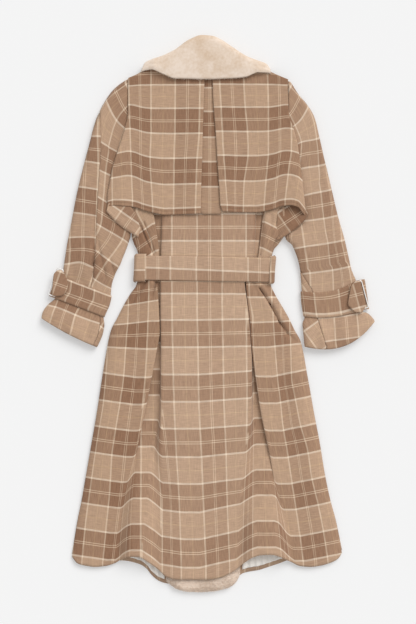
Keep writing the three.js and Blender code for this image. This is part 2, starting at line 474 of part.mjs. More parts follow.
function sleeve(name, rows, ridges, backSeam, side) {
  const body = side < 0 ? leftSide : rightSide;
  const armhole = (y) => body(y) + side * mix(0.2, WOOL / 2 + LOOSE, rolled(y));
  const first = rows[0];
  const chord = (y) => mix(first.ox, first.ix, clamp((first.oy - y) / (first.oy - first.iy), 0, 1));
  const keepOut = (p, row, i) => {
    const width = Math.hypot(row.ox - row.ix, row.oy - row.iy);
    const toOuter = clamp(Math.hypot(p.x - row.ix, p.y - row.iy) / width, 0, 1);
    p.x += (armhole(p.y) - chord(p.y)) * (HUG[i] || 0) * (i === 0 ? 1 : 1 - toOuter);
    p.x = side < 0 ? Math.min(p.x, armhole(p.y)) : Math.max(p.x, armhole(p.y));
    return p;
  };
  const rings = rows.map((row, i) => ringOf(row).map((p, k) => {
    const onTop = k >= TOP_START && k < TOP_START + TOP_RUN.length;
    const loose = onTop ? clamp((row.high - STRAPPED) / 3, 0, 1) : 0;
    p.z += relief(ridges, p.x, p.y) * loose;
    return keepOut(p, row, i);
  }));

  // Each ring is cut at the back seam on its top and in the middle of its underside.
  const seamX = through(backSeam, 'y', 'x');
  const outer = [];
  const inner = [];
  rings.forEach((ring) => {
    const top = ring.slice(TOP_START - 1, TOP_START + TOP_RUN.length + 1);
    const gap = top.map((p) => (p.x - seamX(p.y)) * -side);
    const crossed = gap.findIndex((g) => g < 0);
    const k = clamp(crossed < 0 ? top.length - 2 : crossed, 1, top.length - 2);
    const span = Math.abs(gap[k] - gap[k - 1]) < 1e-6 ? 1 : gap[k] - gap[k - 1];
    const seamAt = top[k - 1].clone().lerp(top[k], clamp(-gap[k - 1] / span, SEAM_CLEAR, 1 - SEAM_CLEAR));
    const along = top[k].clone().sub(top[k - 1]).normalize();
    const underSeam = ring[0].clone().lerp(ring[1], UNDER_SEAM);
    const underAlong = ring[1].clone().sub(ring[0]).normalize();
    const outerEdge = ring.slice(TOP_START + TOP_RUN.length + 1, ring.length);
    const innerEdge = ring.slice(UNDER_COLUMNS, TOP_START - 1);
    outer.push([
      ...evenPoints([seamAt.clone().addScaledVector(along, SEAM_HALF), ...top.slice(k)], 5),
      ...outerEdge,
      ring[0].clone(),
      underSeam.clone().addScaledVector(underAlong, -SEAM_HALF),
    ]);
    inner.push([
      underSeam.clone().addScaledVector(underAlong, SEAM_HALF),
      ring[1].clone(),
      ...innerEdge,
      ...evenPoints([...top.slice(0, k), seamAt.clone().addScaledVector(along, -SEAM_HALF)], 5),
    ]);
  });
  const turned = (piecesRows) => (side < 0 ? piecesRows : piecesRows.map((row) => [...row].reverse()));
  piece(`${name}_upper`, wall(turned(outer), WOOL), COLOURS.wool);
  piece(`${name}_under`, wall(turned(inner), WOOL), COLOURS.wool);
}
sleeve('sleeve_left', SLEEVE_LEFT, SLEEVE_RIDGES_LEFT, BACK_SEAM_LEFT, -1);
sleeve('sleeve_right', SLEEVE_RIGHT, SLEEVE_RIDGES_RIGHT, BACK_SEAM_RIGHT, 1);

// ---- sleeve straps, their tips and buckles -------------------------------------------------
const STRAP_GROW = WOOL / 2 + LOOSE + STRAP / 2;
const STRAP_ROWS = [11.04, 11.5, 12, 12.5, 12.96];   // where the strap lies, counted in the sleeve's rows
const LOOP_LEFT = 16;         // how far each strap stands off the sleeve at its buckle
const LOOP_RIGHT = 21;
function strap(rows, reach, side) {
  const rings = rows.map((row) => ringOf(row, STRAP_GROW, reach));
  return wall(side < 0 ? rings : rings.map((r) => [...r].reverse()), STRAP, true);
}
const cuff = (rows) => STRAP_ROWS.map((at) => {
  const i = Math.floor(at);
  const value = (name) => mix(rows[i][name], rows[i + 1][name], at - i);
  return Object.fromEntries(SLEEVE_COLUMNS.map((name) => [name, value(name)]));
});
piece('sleeve_strap_left', strap(cuff(SLEEVE_LEFT), LOOP_LEFT, -1), COLOURS.wool);
piece('sleeve_strap_right', strap(cuff(SLEEVE_RIGHT), LOOP_RIGHT, 1), COLOURS.wool);

// A buckle is a rectangular frame of round wire, turned to lie along the end of its strap.
const BAND_TOP = STRAPPED + STRAP_GROW + STRAP / 2;
const BUCKLE_GAP = 0.4;       // gap between the frame and the cloth under and over it
const FRAME = { length: 66, width: 17, corner: 3.5, wire: 1.3, sides: 8 };
function buckle(name, x, y, turn) {
  const { length, width, corner, wire, sides } = FRAME;
  const corners = [[1, 1, 0], [-1, 1, 90], [-1, -1, 180], [1, -1, 270]];
  const rows = corners.flatMap(([sx, sy, start]) => [0, 30, 60, 90].map((a) => {
    const angle = ((start + a) * Math.PI) / 180;
    return spread(sides + 1).slice(0, -1).map((t) => {
      const out = corner + wire * Math.cos(2 * Math.PI * t);
      const u = sx * (width / 2 - corner) + out * Math.cos(angle);
      const v = sy * (length / 2 - corner) + out * Math.sin(angle);
      return point(u, v, wire * Math.sin(2 * Math.PI * t));
    });
  }));
  const index = [];
  rows.forEach((_, i) => spread(sides + 1).slice(0, -1).forEach((__, j) => {
    const at = (a, b) => (a % rows.length) * sides + (b % sides);
    index.push(at(i, j), at(i + 1, j), at(i + 1, j + 1), at(i, j), at(i + 1, j + 1), at(i, j + 1));
  }));
  const geometry = new THREE.BufferGeometry();
  const points = rows.flat().flatMap((p) => [p.x, p.y, p.z]);
  geometry.setAttribute('position', new THREE.Float32BufferAttribute(points, 3));
  geometry.setIndex(index);
  geometry.computeVertexNormals();
  const placed = new THREE.Matrix4().makeRotationZ(turn).setPosition(x, y, BAND_TOP + BUCKLE_GAP + wire);
  geometry.applyMatrix4(placed);
  piece(name, geometry, COLOURS.metal, 0.35, 1);
}
buckle('buckle_left', -363, 71, Math.atan2(-19, 60));
buckle('buckle_right', 366.5, 41, Math.atan2(16.8, 62.4));

// The strap's end comes through the buckle and lies over its inner bar.
const TIP_LEFT = table(['y', 'from', 'to'],
  [100, -359, -350], [90, -368, -342], [65, -371, -334], [50, -372, -336], [38, -371, -350]);
const TIP_RIGHT = table(['y', 'from', 'to'],
  [74, 352, 364], [60, 341, 367], [40, 337, 371], [19, 334, 376], [7, 343, 373], [-1, 353, 367]);
const TIP_OVER = BAND_TOP + 2 * BUCKLE_GAP + 2 * FRAME.wire + STRAP / 2;
const tip = (rows) => rows.map((r) => spread(6).map((u) => point(mix(r.from, r.to, u), r.y, TIP_OVER)));
piece('strap_end_left', wall(tip(TIP_LEFT), STRAP), COLOURS.wool);
piece('strap_end_right', wall(tip(TIP_RIGHT), STRAP), COLOURS.wool);

// ---- the belt and its loops ----------------------------------------------------------------
const BELT_LEVEL = { middle: 19.6, side: 18.6 };
const BELT_REACH = 5.5;       // how far the belt stands off the coat's sides
const BELT_TILT = 0.017;      // how much the belt's upper side falls towards the wearer's right
const tilted = (p) => {
  const share = clamp((p.z - STRAP / 2) / (BELT_LEVEL.side - STRAP / 2), 0, 1);
  return point(p.x, p.y - BELT_TILT * p.x * share, p.z);
};
function beltRow(y) {
  const ends = { ox: leftSide(y), oy: y, ix: rightSide(y), iy: y, bow: 0 };
  const row = { ...ends, low: STRAP / 2, high: BELT_LEVEL.side, round: BELT_REACH };
  return ringOf(row, 0, BELT_REACH, BELT_REACH).map((p, k) => {
    const onTop = k >= TOP_START && k < TOP_START + TOP_RUN.length;
    const level = mix(BELT_LEVEL.middle, BELT_LEVEL.side, ramp(Math.abs(p.x), 60, 140));
    return tilted(onTop ? point(p.x, p.y, level) : p);
  });
}
piece('belt', wall([BELT_TOP, 112, 92, BELT_BOTTOM].map(beltRow), STRAP, true), COLOURS.wool);

// Each loop holds the belt at a side seam: it lies over the belt and turns down round the belt's edge.
const LOOP_ROWS = table(['y', 'grow'],
  [136, 0.4], [133, 2.9], [103, 2.9], [73, 2.9], [70, 0.4]);
const LOOP_TURN = radians(-50, -15, 20, 55, 90);
const LOOP_WIDTH = { left: 27, right: 12 };   // how far each loop reaches in over the belt
function loop(edge, inward, width) {
  return LOOP_ROWS.map(({ y, grow }) => {
    const radius = BELT_REACH + grow;
    const end = edge(clamp(y, BELT_BOTTOM, BELT_TOP)) - inward * radius;
    const half = (BELT_LEVEL.side - STRAP / 2) / 2 + grow;
    const middleZ = (BELT_LEVEL.side + STRAP / 2) / 2;
    const turn = LOOP_TURN.map((a) => {
      const x = end + inward * radius * (1 - Math.cos(a));
      return point(x, y, middleZ + half * Math.sin(a));
    });
    const flat = [0.5, 1].map((t) => point(end + inward * mix(radius, width, t), y, middleZ + half));
    const row = [...turn, ...flat].map(tilted);
    return inward > 0 ? row : row.reverse();
  });
}
piece('belt_loop_left', wall(loop(leftSide, 1, LOOP_WIDTH.left), STRAP), COLOURS.wool);
piece('belt_loop_right', wall(loop(rightSide, -1, LOOP_WIDTH.right), STRAP), COLOURS.wool);

// ---- the fur collar, folded over the neck ---------------------------------------------------
const COLLAR = table(['x', 'top', 'fall'],
  [-159, 581, 572], [-150, 598, 575], [-135, 605, 577], [-108, 614, 566], [-79, 628, 555],
  [-43, 653, 554], [-15, 663, 553], [10, 661, 553], [29, 653, 554], [55, 636, 555], [91, 613, 559],
  [119, 602, 570], [139, 595, 570], [150, 581, 568]);
const COLLAR_ROLL = radians(-90, -45, 0, 45, 90);
const COLLAR_ENDS = { left: -158, right: 149 };
const COLLAR_COLUMNS = 17;
const COLLAR_LEVEL = { ends: 20.5, middle: 27 };   // level of the upper layer
const COLLAR_RIM = 3.4;                          // thickness at the two ends
const COLLAR_RADIUS = 16;                        // of the fold along its upper edge
const COLLAR_CROWN = 1.5;
const NECK_Y = 586;                              // where the under layer is sewn to the neck
const COLLAR_UNDER = { above: 8, reach: 0.9 };   // the under layer ends this far above the fall's edge
const collarTop = through(COLLAR, 'x', 'top');
const collarFall = through(COLLAR, 'x', 'fall');

function collarColumn(u) {
  const x = mix(COLLAR_ENDS.left, COLLAR_ENDS.right, u);
  const inside = Math.min(1, 10 * Math.min(u, 1 - u));
  const thick = mix(COLLAR_RIM, COLLAR_PILE, inside);
  const lower = thick / 2;
  const upper = mix(COLLAR_LEVEL.ends, COLLAR_LEVEL.middle, inside);
  const edge = collarTop(x) - thick / 2;
  const radius = Math.min(COLLAR_RADIUS, (edge - collarFall(x)) / 2);
  const roll = COLLAR_ROLL.map((a) => {
    const level = (lower + upper) / 2 + ((upper - lower) / 2) * Math.sin(a);
    return point(x, edge - radius + radius * Math.cos(a), level);
  });
  const neck = Math.max(NECK_Y, collarFall(x) + COLLAR_UNDER.above);
  const under = point(x, mix(edge - radius, neck, COLLAR_UNDER.reach), lower);
  const over = [0.33, 0.66, 1].map((t) => {
    const y = mix(edge - radius, collarFall(x) + 1, t);
    return point(x, y, upper + COLLAR_CROWN * Math.sin(Math.PI * t));
  });
  return { thick, column: [under, ...roll, ...over] };
}
const collar = spread(COLLAR_COLUMNS).map(collarColumn);
const collarRows = collar[0].column.map((_, i) => collar.map((c) => c.column[i])).reverse();
const collarThick = (v, u) => collar[Math.round(u * (COLLAR_COLUMNS - 1))].thick;
piece('collar', wall(collarRows, collarThick), COLOURS.fur, 1);

const box = new THREE.Box3().setFromObject(coat);
coat.position.set(-(box.min.x + box.max.x) / 2, -(box.min.y + box.max.y) / 2, -box.min.z);

export default coat;
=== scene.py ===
# Looks for an oversized checked wool coat, laid face down with its back uppermost.
# Tables and sizes are in millimetres in the CAD's drawing frame, and every mesh is made in metres.
import math

import bpy
import numpy as np
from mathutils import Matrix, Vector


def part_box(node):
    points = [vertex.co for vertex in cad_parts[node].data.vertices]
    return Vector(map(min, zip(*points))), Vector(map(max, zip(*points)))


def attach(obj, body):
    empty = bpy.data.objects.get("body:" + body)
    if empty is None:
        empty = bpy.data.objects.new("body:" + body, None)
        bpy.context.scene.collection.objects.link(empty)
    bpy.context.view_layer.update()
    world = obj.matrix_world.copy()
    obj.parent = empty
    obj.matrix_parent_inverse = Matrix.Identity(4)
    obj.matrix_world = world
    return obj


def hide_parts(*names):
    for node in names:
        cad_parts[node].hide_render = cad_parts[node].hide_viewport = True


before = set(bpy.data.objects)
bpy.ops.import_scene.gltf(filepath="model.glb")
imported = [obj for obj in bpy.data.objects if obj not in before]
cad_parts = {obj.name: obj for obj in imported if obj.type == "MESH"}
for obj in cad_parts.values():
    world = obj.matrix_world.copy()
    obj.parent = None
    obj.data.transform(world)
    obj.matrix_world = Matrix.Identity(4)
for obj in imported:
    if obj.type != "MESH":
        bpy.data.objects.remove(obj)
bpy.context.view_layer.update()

# ---- the drawing frame ---------------------------------------------------------------------
# The drawing frame is found from two places on the CAD that are named here too.
MM = 0.001
LINING_LEFT = -232    # the left lining's outer edge
LEFT_TIP_LOW = 38     # the lower end of the left strap's point
SHIFT = np.array([
    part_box("lining_left")[0].x / MM - LINING_LEFT,
    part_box("strap_end_left")[0].y / MM - LEFT_TIP_LOW,
    0.0,
])

# ---- driving dimensions --------------------------------------------------------------------
WOOL = 2.2            # thickness of the coat's cloth
STRAP = 2.2           # thickness of the belt and straps
SATIN = 1.0           # thickness of the lining
SEAM = 0.3            # gap between two pieces at a seam
LOOSE = 0.6           # gap between two pieces that lie on or beside each other
PILE = 8.0            # thickness of the facing's fur, skin and pile together
COLLAR_PILE = 10.0    # thickness of the collar's fur
BELT_TOP = 132
BELT_BOTTOM = 74
STRAP_LIFT = WOOL + 0.4   # how far cloth rises over a band that passes under it
SHOULDER_Y = 558      # the straight line to which the shoulders' curve is added
YOKE_Y = 466          # where the shoulders' curve starts to tell
HEM_BASE = -610       # the straight line to which the hem's curve is added
HEM_RISE_FROM = -50   # where the hem's curve starts to tell
WARP_REPEAT = 59      # half a repeat of the check, across the cloth
WEFT_REPEAT = 65      # half a repeat of the check, along the cloth


# ---- small helpers -------------------------------------------------------------------------
def table(columns, *rows):
    """A short table as named columns, in the order of its first one."""
    values = np.array(sorted(rows), dtype=float).T
    return dict(zip(columns.split(), values))


def through(rows, column):
    """A smooth function through a table, from its first column to the named one, without overshoot."""
    x = rows[next(iter(rows))]
    y = rows[column]
    slope = np.diff(y) / np.diff(x)
    before = np.concatenate((slope[:1], slope))
    after = np.concatenate((slope, slope[-1:]))
    same = before * after > 0
    tangent = np.where(same, 2 * before * after / np.where(same, before + after, 1), 0)

    def value(at):
        at = np.clip(at, x[0], x[-1])
        i = np.clip(np.searchsorted(x, at, side="right") - 1, 0, len(x) - 2)
        h = x[i + 1] - x[i]
        t = (at - x[i]) / h
        start = (2 * t**3 - 3 * t**2 + 1) * y[i] + (t**3 - 2 * t**2 + t) * h * tangent[i]
        return start + (-2 * t**3 + 3 * t**2) * y[i + 1] + (t**3 - t**2) * h * tangent[i + 1]

    return value


def columns_at(rows, at):
    """A table's columns apart from its first, at any place between its rows."""
    return {name: through(rows, name)(at) for name in list(rows)[1:]}


def mix(a, b, t):
    return a + (b - a) * t


def smooth(t):
    t = np.clip(t, 0, 1)
    return t * t * (3 - 2 * t)


def ramp(v, start, end):
    return smooth((v - start) / (end - start))


RIDGE_FADE = 0.6      # share of its height that a ridge loses by its far end


def relief(ridges, x, y):
    """Height that soft ridges, or troughs where the height is negative, add at each point."""
    total = np.zeros(np.broadcast(x, y).shape)
    for x0, y0, x1, y1, width, height in zip(*ridges.values()):
        dx = x1 - x0
        dy = y1 - y0
        along = np.clip(((x - x0) * dx + (y - y0) * dy) / (dx * dx + dy * dy), 0, 1)
        away = np.hypot(x - x0 - along * dx, y - y0 - along * dy)
        total += height * np.exp(-((away / width) ** 2)) * (1 - RIDGE_FADE * along)
    return total


def step(shape, low, high, t):
    """An S-shaped step across the cloth. With a pull above its width it is a pleat's fold."""
    a = shape["x"] - shape["half"]
    b = shape["x"] + shape["half"]
    pull = shape["pull"]
    start = a * (1 - t) ** 3 + 3 * (a + pull) * t * (1 - t) ** 2
    end = 3 * (b - pull) * t * t * (1 - t) + b * t**3
    return start + end, mix(low, high, smooth(t))


def between_lines(x, lines, numbers):
    """The check's coordinate at x, from the places of its numbered lines, going on evenly past them."""
    value = numbers[0] + (x - lines[0]) / (lines[1] - lines[0]) * (numbers[1] - numbers[0])
    for k in range(1, len(lines) - 1):
        part = numbers[k] + (x - lines[k]) / (lines[k + 1] - lines[k]) * (numbers[k + 1] - numbers[k])
        value = np.where(x > lines[k], part, value)
    return value


# ---- meshes --------------------------------------------------------------------------------
def make_object(name, points, faces, material, uv=None, tone=None):
    """A smooth mesh object from points in millimetres. uv holds a place on the check for each corner."""
    mesh = bpy.data.meshes.new(name)
    mesh.from_pydata(((points + SHIFT) * MM).tolist(), [], faces)
    mesh.polygons.foreach_set("use_smooth", [True] * len(mesh.polygons))
    if uv is not None:
        layer = mesh.uv_layers.new(name="check")
        layer.data.foreach_set("uv", uv.reshape(-1))
    # Each point's share of painted shade for the wool's colours.
    if tone is not None:
        mesh.attributes.new("tone", "FLOAT", "POINT").data.foreach_set("value", tone)
    mesh.materials.append(material)
    mesh.update()
    obj = bpy.data.objects.new(name, mesh)
    bpy.context.scene.collection.objects.link(obj)
    return obj


def normals_of(points, ring=False):
    """Unit normals of a grid of points, on the side from which its rows run down and its columns right."""
    if ring:
        across = np.roll(points, -1, axis=1) - np.roll(points, 1, axis=1)
    else:
        across = np.gradient(points, axis=1)
    normal = np.cross(np.gradient(points, axis=0), across)
    return normal / np.maximum(np.linalg.norm(normal, axis=2, keepdims=True), 1e-9)


def quads(index):
    """Four-sided faces between the rows and columns of a grid of vertex numbers."""
    return np.stack((index[:-1, :-1], index[1:, :-1], index[1:, 1:], index[:-1, 1:]), axis=-1).reshape(-1, 4)


SOFT_RIM = 0.6        # share of the thickness that is left at a turned edge


def wall(name, points, thickness, uv, material, ring=False, tone=0.6):
    """A closed wall round a grid of middle-surface points, with edges that round off.

    A ring's uv has one column more than its points, for the place where the ring closes.
    The painted shade, from 0 to 1, says how far the wool's colours are deepened as shade.
    """
    down, across = points.shape[:2]
    thick = np.broadcast_to(thickness, (down, across)).astype(float)
    thick[[0, -1], :] *= SOFT_RIM
    if not ring:
        thick[:, [0, -1]] *= SOFT_RIM
    offset = normals_of(points, ring) * thick[..., None] / 2
    corners = np.concatenate(((points + offset).reshape(-1, 3), (points - offset).reshape(-1, 3)))
    columns = across + 1 if ring else across
    place = np.arange(down * columns).reshape(down, columns)
    vertex = place
    if ring:
        vertex = np.arange(down * across).reshape(down, across)
        vertex = np.concatenate((vertex, vertex[:, :1]), axis=1)
    top = quads(vertex)
    place_top = quads(place)
    faces = [top, top[:, ::-1] + down * across]
    places = [place_top, place_top[:, ::-1]]
    rims = [(slice(0, 1), slice(None), 1), (slice(-1, None), slice(None), -1)]
    if not ring:
        rims += [(slice(None), slice(0, 1), -1), (slice(None), slice(-1, None), 1)]
    for rows, cols, turn in rims:
        line = vertex[rows, cols].reshape(-1)[::turn]
        spot = place[rows, cols].reshape(-1)[::turn]
        under = line + down * across
        faces.append(np.stack((line[:-1], line[1:], under[1:], under[:-1]), axis=-1))
        places.append(np.stack((spot[:-1], spot[1:], spot[1:], spot[:-1]), axis=-1))
    faces = np.concatenate(faces)
    places = np.concatenate(places)
    tones = np.tile(np.broadcast_to(tone, (down, across)).reshape(-1), 2).astype(np.float32)
    checks = uv.reshape(-1, 2)[places.reshape(-1)]
    return make_object(name, corners, faces.tolist(), material, checks, tones)


def grid(x, y, z):
    return np.stack(np.broadcast_arrays(x, y, z), axis=-1).astype(float)


def on_check(across, along):
    """Places on the check, from the half repeats across and along the cloth."""
    return np.stack(np.broadcast_arrays(across, along), axis=-1)


PRESSED = 0.2         # how close to the surface below the fur is pressed
FUR_SPREAD = 0.26     # how far single blades turn from the fur's direction
FUR_SWIRL = 0.2       # how far whole tufts do
FUR_SHORTEST = 0.55   # the shortest blade's share of the longest
FUR_BEND = {"at": 0.55, "tip": 0.35, "width": 0.8}   # where a blade bends, how far, and its width there


def pile(name, points, length, width, count, lean, material, seed):
    """Short fur on the outer side of a grid of points: narrow blades that taper and lean.

    The order of the random draws decides where each blade is and how it stands.
    """
    rng = np.random.default_rng(seed)
    down, across = points.shape[:2]
    normal = normals_of(points)
    i = rng.uniform(0, down - 1.001, count)
    j = rng.uniform(0, across - 1.001, count)
    i0 = i.astype(int)
    j0 = j.astype(int)
    fi = (i - i0)[:, None]
    fj = (j - j0)[:, None]
    above = mix(points[i0, j0], points[i0, j0 + 1], fj)
    below = mix(points[i0 + 1, j0], points[i0 + 1, j0 + 1], fj)
    at = mix(above, below, fi)
    x, y, z = at[:, :1], at[:, 1:2], at[:, 2:]
    # Tufts a few centimetres across, in which the blades lean the same way.
    tuft = np.sin(x * 0.21 + 2 * np.sin(y * 0.17)) * np.cos(y * 0.23 + z * 0.3)
    swirl = np.concatenate((tuft, np.roll(tuft, 7, axis=0) * 0.2 + tuft * 0.4, 0 * tuft), axis=1)
    stray = FUR_SPREAD * rng.normal(size=(count, 3))
    direction = normal[i0, j0] + stray + np.array(lean) + FUR_SWIRL * swirl
    direction /= np.linalg.norm(direction, axis=1, keepdims=True)
    size = length * rng.uniform(FUR_SHORTEST, 1.0, (count, 1))
    side = np.cross(direction, rng.normal(size=(count, 3)))
    side *= width / 2 / np.maximum(np.linalg.norm(side, axis=1, keepdims=True), 1e-9)
    bend = at + direction * size * FUR_BEND["at"]
    tip = at + direction * size + np.array(lean) * size * FUR_BEND["tip"]
    narrow = side * FUR_BEND["width"]
    corners = np.stack((at - side, at + side, bend + narrow, bend - narrow, tip), axis=1).reshape(-1, 3)
    corners[:, 2] = np.maximum(corners[:, 2], PRESSED)
    base = np.arange(count) * 5
    blades = np.stack((base, base + 1, base + 2, base + 3), axis=1).tolist()
    tips = np.stack((base + 3, base + 2, base + 4), axis=1).tolist()
    return make_object(name, corners, blades + tips, material)


# ---- materials -----------------------------------------------------------------------------
class Nodes:
    """A small helper that adds shader nodes and links their inputs by name or number."""

    def __init__(self, name):
        self.material = bpy.data.materials.new(name)
        self.material.use_nodes = True
        self.tree = self.material.node_tree
        self.shader = self.tree.nodes["Principled BSDF"]

    def add(self, kind, inputs=None, **settings):
        node = self.tree.nodes.new(kind)
        for key, value in settings.items():
            setattr(node, key, value)
        for key, value in (inputs or {}).items():
            self.set(node.inputs[key], value)
        return node

    def set(self, socket, value):
        if isinstance(value, bpy.types.NodeSocket):
            self.tree.links.new(value, socket)
        else:
            socket.default_value = value

    def math(self, operation, a, b=0.0):
        return self.add("ShaderNodeMath", {0: a, 1: b}, operation=operation).outputs[0]

    def noise(self, vector, scale, detail=2.0):
        inputs = {"Vector": vector, "Scale": scale, "Detail": detail}
        return self.add("ShaderNodeTexNoise", inputs).outputs["Fac"]

    def stretched(self, vector, scale):
        return self.add("ShaderNodeMapping", {"Vector": vector, "Scale": scale}).outputs[0]

    def mix(self, share, a, b, blend="MIX"):
        node = self.add("ShaderNodeMix", {"Factor": share, 6: a, 7: b}, data_type="RGBA", blend_type=blend)
        return node.outputs[2]

    def map_range(self, value, **ends):
        inputs = {key.replace("_", " "): end for key, end in ends.items()}
        return self.add("ShaderNodeMapRange", {"Value": value, **inputs}).outputs[0]

    def bump(self, height, strength, distance):
        inputs = {"Height": height, "Strength": strength, "Distance": distance}
        return self.add("ShaderNodeBump", inputs).outputs[0]

    def finish(self, **inputs):
        for key, value in inputs.items():
            self.set(self.shader.inputs[key.replace("_", " ")], value)
        return self.material


def linear(*colour):
    """An sRGB colour, none of its parts near black, from 0 to 255 as linear RGBA."""
    return tuple(((v / 255 + 0.055) / 1.055) ** 2.4 for v in colour) + (1.0,)


# Each yarn's colour unshaded, and its colour with painted shade, used where the cloth lies in shade.
YARNS = {
    "warp": {
        "dark": (linear(167, 135, 111), linear(149, 115, 91)),
        "light": (linear(184, 153, 128), linear(175, 143, 117)),
        "cream": (linear(225, 203, 178), linear(220, 197, 171)),
        "thin": (linear(220, 195, 168), linear(210, 184, 157)),
        "faint": (linear(199, 169, 138), linear(190, 158, 126)),
    },
    "weft": {
        "dark": (linear(156, 123, 99), linear(130, 94, 70)),
        "light": (linear(190, 160, 135), linear(186, 156, 130)),
        "cream": (linear(234, 217, 196), linear(232, 214, 192)),
        "thin": (linear(224, 202, 176), linear(216, 192, 166)),
        "faint": (linear(205, 176, 144), linear(196, 165, 132)),
    },
}
# Stripes of one repeat, which is a dark and a light half: the colour's name and where it starts and ends.
STRIPES = [
    ("cream", 0, 0.014), ("dark", 0.020, 0.224), ("thin", 0.226, 0.236), ("dark", 0.241, 0.259),
    ("thin", 0.264, 0.274), ("dark", 0.278, 0.480), ("cream", 0.486, 0.514), ("light", 0.520, 0.735),
    ("faint", 0.742, 0.758), ("light", 0.765, 0.980), ("cream", 0.986, 1)]
WARP_SLUBS = (34, 2.6, 1)     # how often the yarn's thickness changes across and along the cloth
WEFT_SLUBS = (2.6, 37, 1)
NAP = (90, 96, 1)


def stripes(nodes, coordinate, yarns, depth):
    """The colour of one set of yarns, from the coordinate that counts its half repeats; depth 0 gives its
    unshaded colours and 1 its painted-shade colours.
    """
    share = nodes.math("FRACT", nodes.math("MULTIPLY", coordinate, 0.5))
    node = nodes.add("ShaderNodeValToRGB", {"Fac": share})
    stops = node.color_ramp.elements
    stops.remove(stops[1])
    stops[0].position = 0
    stops[0].color = yarns[STRIPES[0][0]][depth]
    for colour, start, end in STRIPES:
        for position in (start, end):
            if position > 0:
                stops.new(position).color = yarns[colour][depth]
    return node.outputs["Color"]


def checked_wool():
    """Woven cloth whose colour comes from its warp and weft stripes and from how much painted shade deepens
    them.
    """
    nodes = Nodes("checked_wool")
    place = nodes.add("ShaderNodeUVMap", uv_map="check").outputs[0]
    parts = nodes.add("ShaderNodeSeparateXYZ", {0: place})
    # Each point's share of painted shade, which mixes each yarn's unshaded colour with its shaded one.
    tone = nodes.add("ShaderNodeAttribute", attribute_name="tone").outputs["Fac"]
    colours = []
    for axis, yarns in (("X", YARNS["warp"]), ("Y", YARNS["weft"])):
        unshaded = stripes(nodes, parts.outputs[axis], yarns, 0)
        painted_shaded = stripes(nodes, parts.outputs[axis], yarns, 1)
        colours.append(nodes.mix(tone, unshaded, painted_shaded))
    warp, weft = colours
    warp_slubs = nodes.noise(nodes.stretched(place, WARP_SLUBS), 1.0)
    weft_slubs = nodes.noise(nodes.stretched(place, WEFT_SLUBS), 1.0)
    slubs = nodes.math("ADD", warp_slubs, weft_slubs)
    lead = nodes.math("SUBTRACT", weft_slubs, warp_slubs)
    weft_share = nodes.math("ADD", nodes.math("MULTIPLY", lead, 0.5), 0.5)
    shade = nodes.map_range(slubs, From_Min=0.6, From_Max=1.4, To_Min=0.80, To_Max=1.20)
    colour = nodes.mix(1.0, nodes.mix(weft_share, warp, weft), shade, "MULTIPLY")
    nap = nodes.noise(nodes.stretched(place, NAP), 1.0, 3.0)
    height = nodes.math("ADD", nodes.math("MULTIPLY", slubs, 0.6), nap)
    return nodes.finish(
        Base_Color=colour, Roughness=0.95, Normal=nodes.bump(height, 0.35, 0.0008), Sheen_Weight=0.12,
        Sheen_Roughness=0.6, Specular_IOR_Level=0.15)


def fur(name, colour, tint):
    """Fur with a tint in soft patches and in small clumps."""
    nodes = Nodes(name)
    place = nodes.add("ShaderNodeTexCoord").outputs["Object"]
    clumps = nodes.math("MULTIPLY", nodes.noise(place, 160, 3.0), 0.35)
    patches = nodes.math("MULTIPLY", nodes.noise(place, 22, 2.0), 0.65)
    shade = nodes.map_range(nodes.math("ADD", clumps, patches), From_Min=0.35, From_Max=0.62)
    return nodes.finish(
        Base_Color=nodes.mix(shade, tint, colour), Roughness=0.85, Sheen_Weight=0.3, Sheen_Roughness=0.4,
        Specular_IOR_Level=0.2)


def satin():
    """Pale satin with a fine weave across it."""
    nodes = Nodes("satin_lining")
    place = nodes.add("ShaderNodeTexCoord").outputs["Object"]
    weave = nodes.noise(nodes.stretched(place, (900, 90, 90)), 1.0)
    return nodes.finish(
        Base_Color=linear(247, 241, 233), Roughness=0.38, Normal=nodes.bump(weave, 0.08, 0.0005),
        Sheen_Weight=0.1)


def metal():
    """Pale brushed metal."""
    nodes = Nodes("buckle_metal")
    place = nodes.add("ShaderNodeTexCoord").outputs["Object"]
    grain = nodes.noise(nodes.stretched(place, (60, 900, 60)), 1.0)
    rough = nodes.map_range(grain, To_Min=0.3, To_Max=0.45)
    return nodes.finish(Base_Color=linear(243, 241, 238), Metallic=0.45, Roughness=rough)


def pale_floor():
    """A plain floor that glows a little, so that shadows on it stay soft."""
    nodes = Nodes("pale_floor")
    return nodes.finish(
        Base_Color=(0.6, 0.6, 0.6, 1), Roughness=1.0, Specular_IOR_Level=0.0, Emission_Color=(1, 1, 1, 1),
        Emission_Strength=0.28)


CHECKED_WOOL = checked_wool()
COLLAR_FUR = fur("collar_fur", linear(229, 212, 196), linear(208, 184, 160))
FACING_FUR = fur("facing_fur", linear(233, 216, 200), linear(210, 190, 172))
SATIN_LINING = satin()
BUCKLE_METAL = metal()


def place_piece(obj, node):
    """The piece stands for its CAD node, whose part is hidden, and moves with the coat."""
    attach(obj, "root")
    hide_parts(node)
    return obj


def wool_piece(name, node, points, check, thickness=WOOL, **look):
    """A wall of checked wool that stands for its CAD node."""
    return place_piece(wall(name, points, thickness, check, CHECKED_WOOL, **look), node)


HAIR_WIDTH = 0.7


def fur_piece(name, node, points, thickness, hair, material, shown=slice(None)):
    """A skin with a pile on the rows that show. hair says how long and dense it is and how it leans."""
    skin = wall(f"{name}_skin", points, thickness, np.zeros(points.shape[:2] + (2,)), material)
    length, sunk, count, lean, seed = hair.values()
    roots = points[shown] + normals_of(points[shown]) * (thickness[shown, :, None] / 2 - sunk)
    blades = pile(f"{name}_pile", roots, length, HAIR_WIDTH, count, lean, material, seed)
    return place_piece(skin, node), place_piece(blades, node)


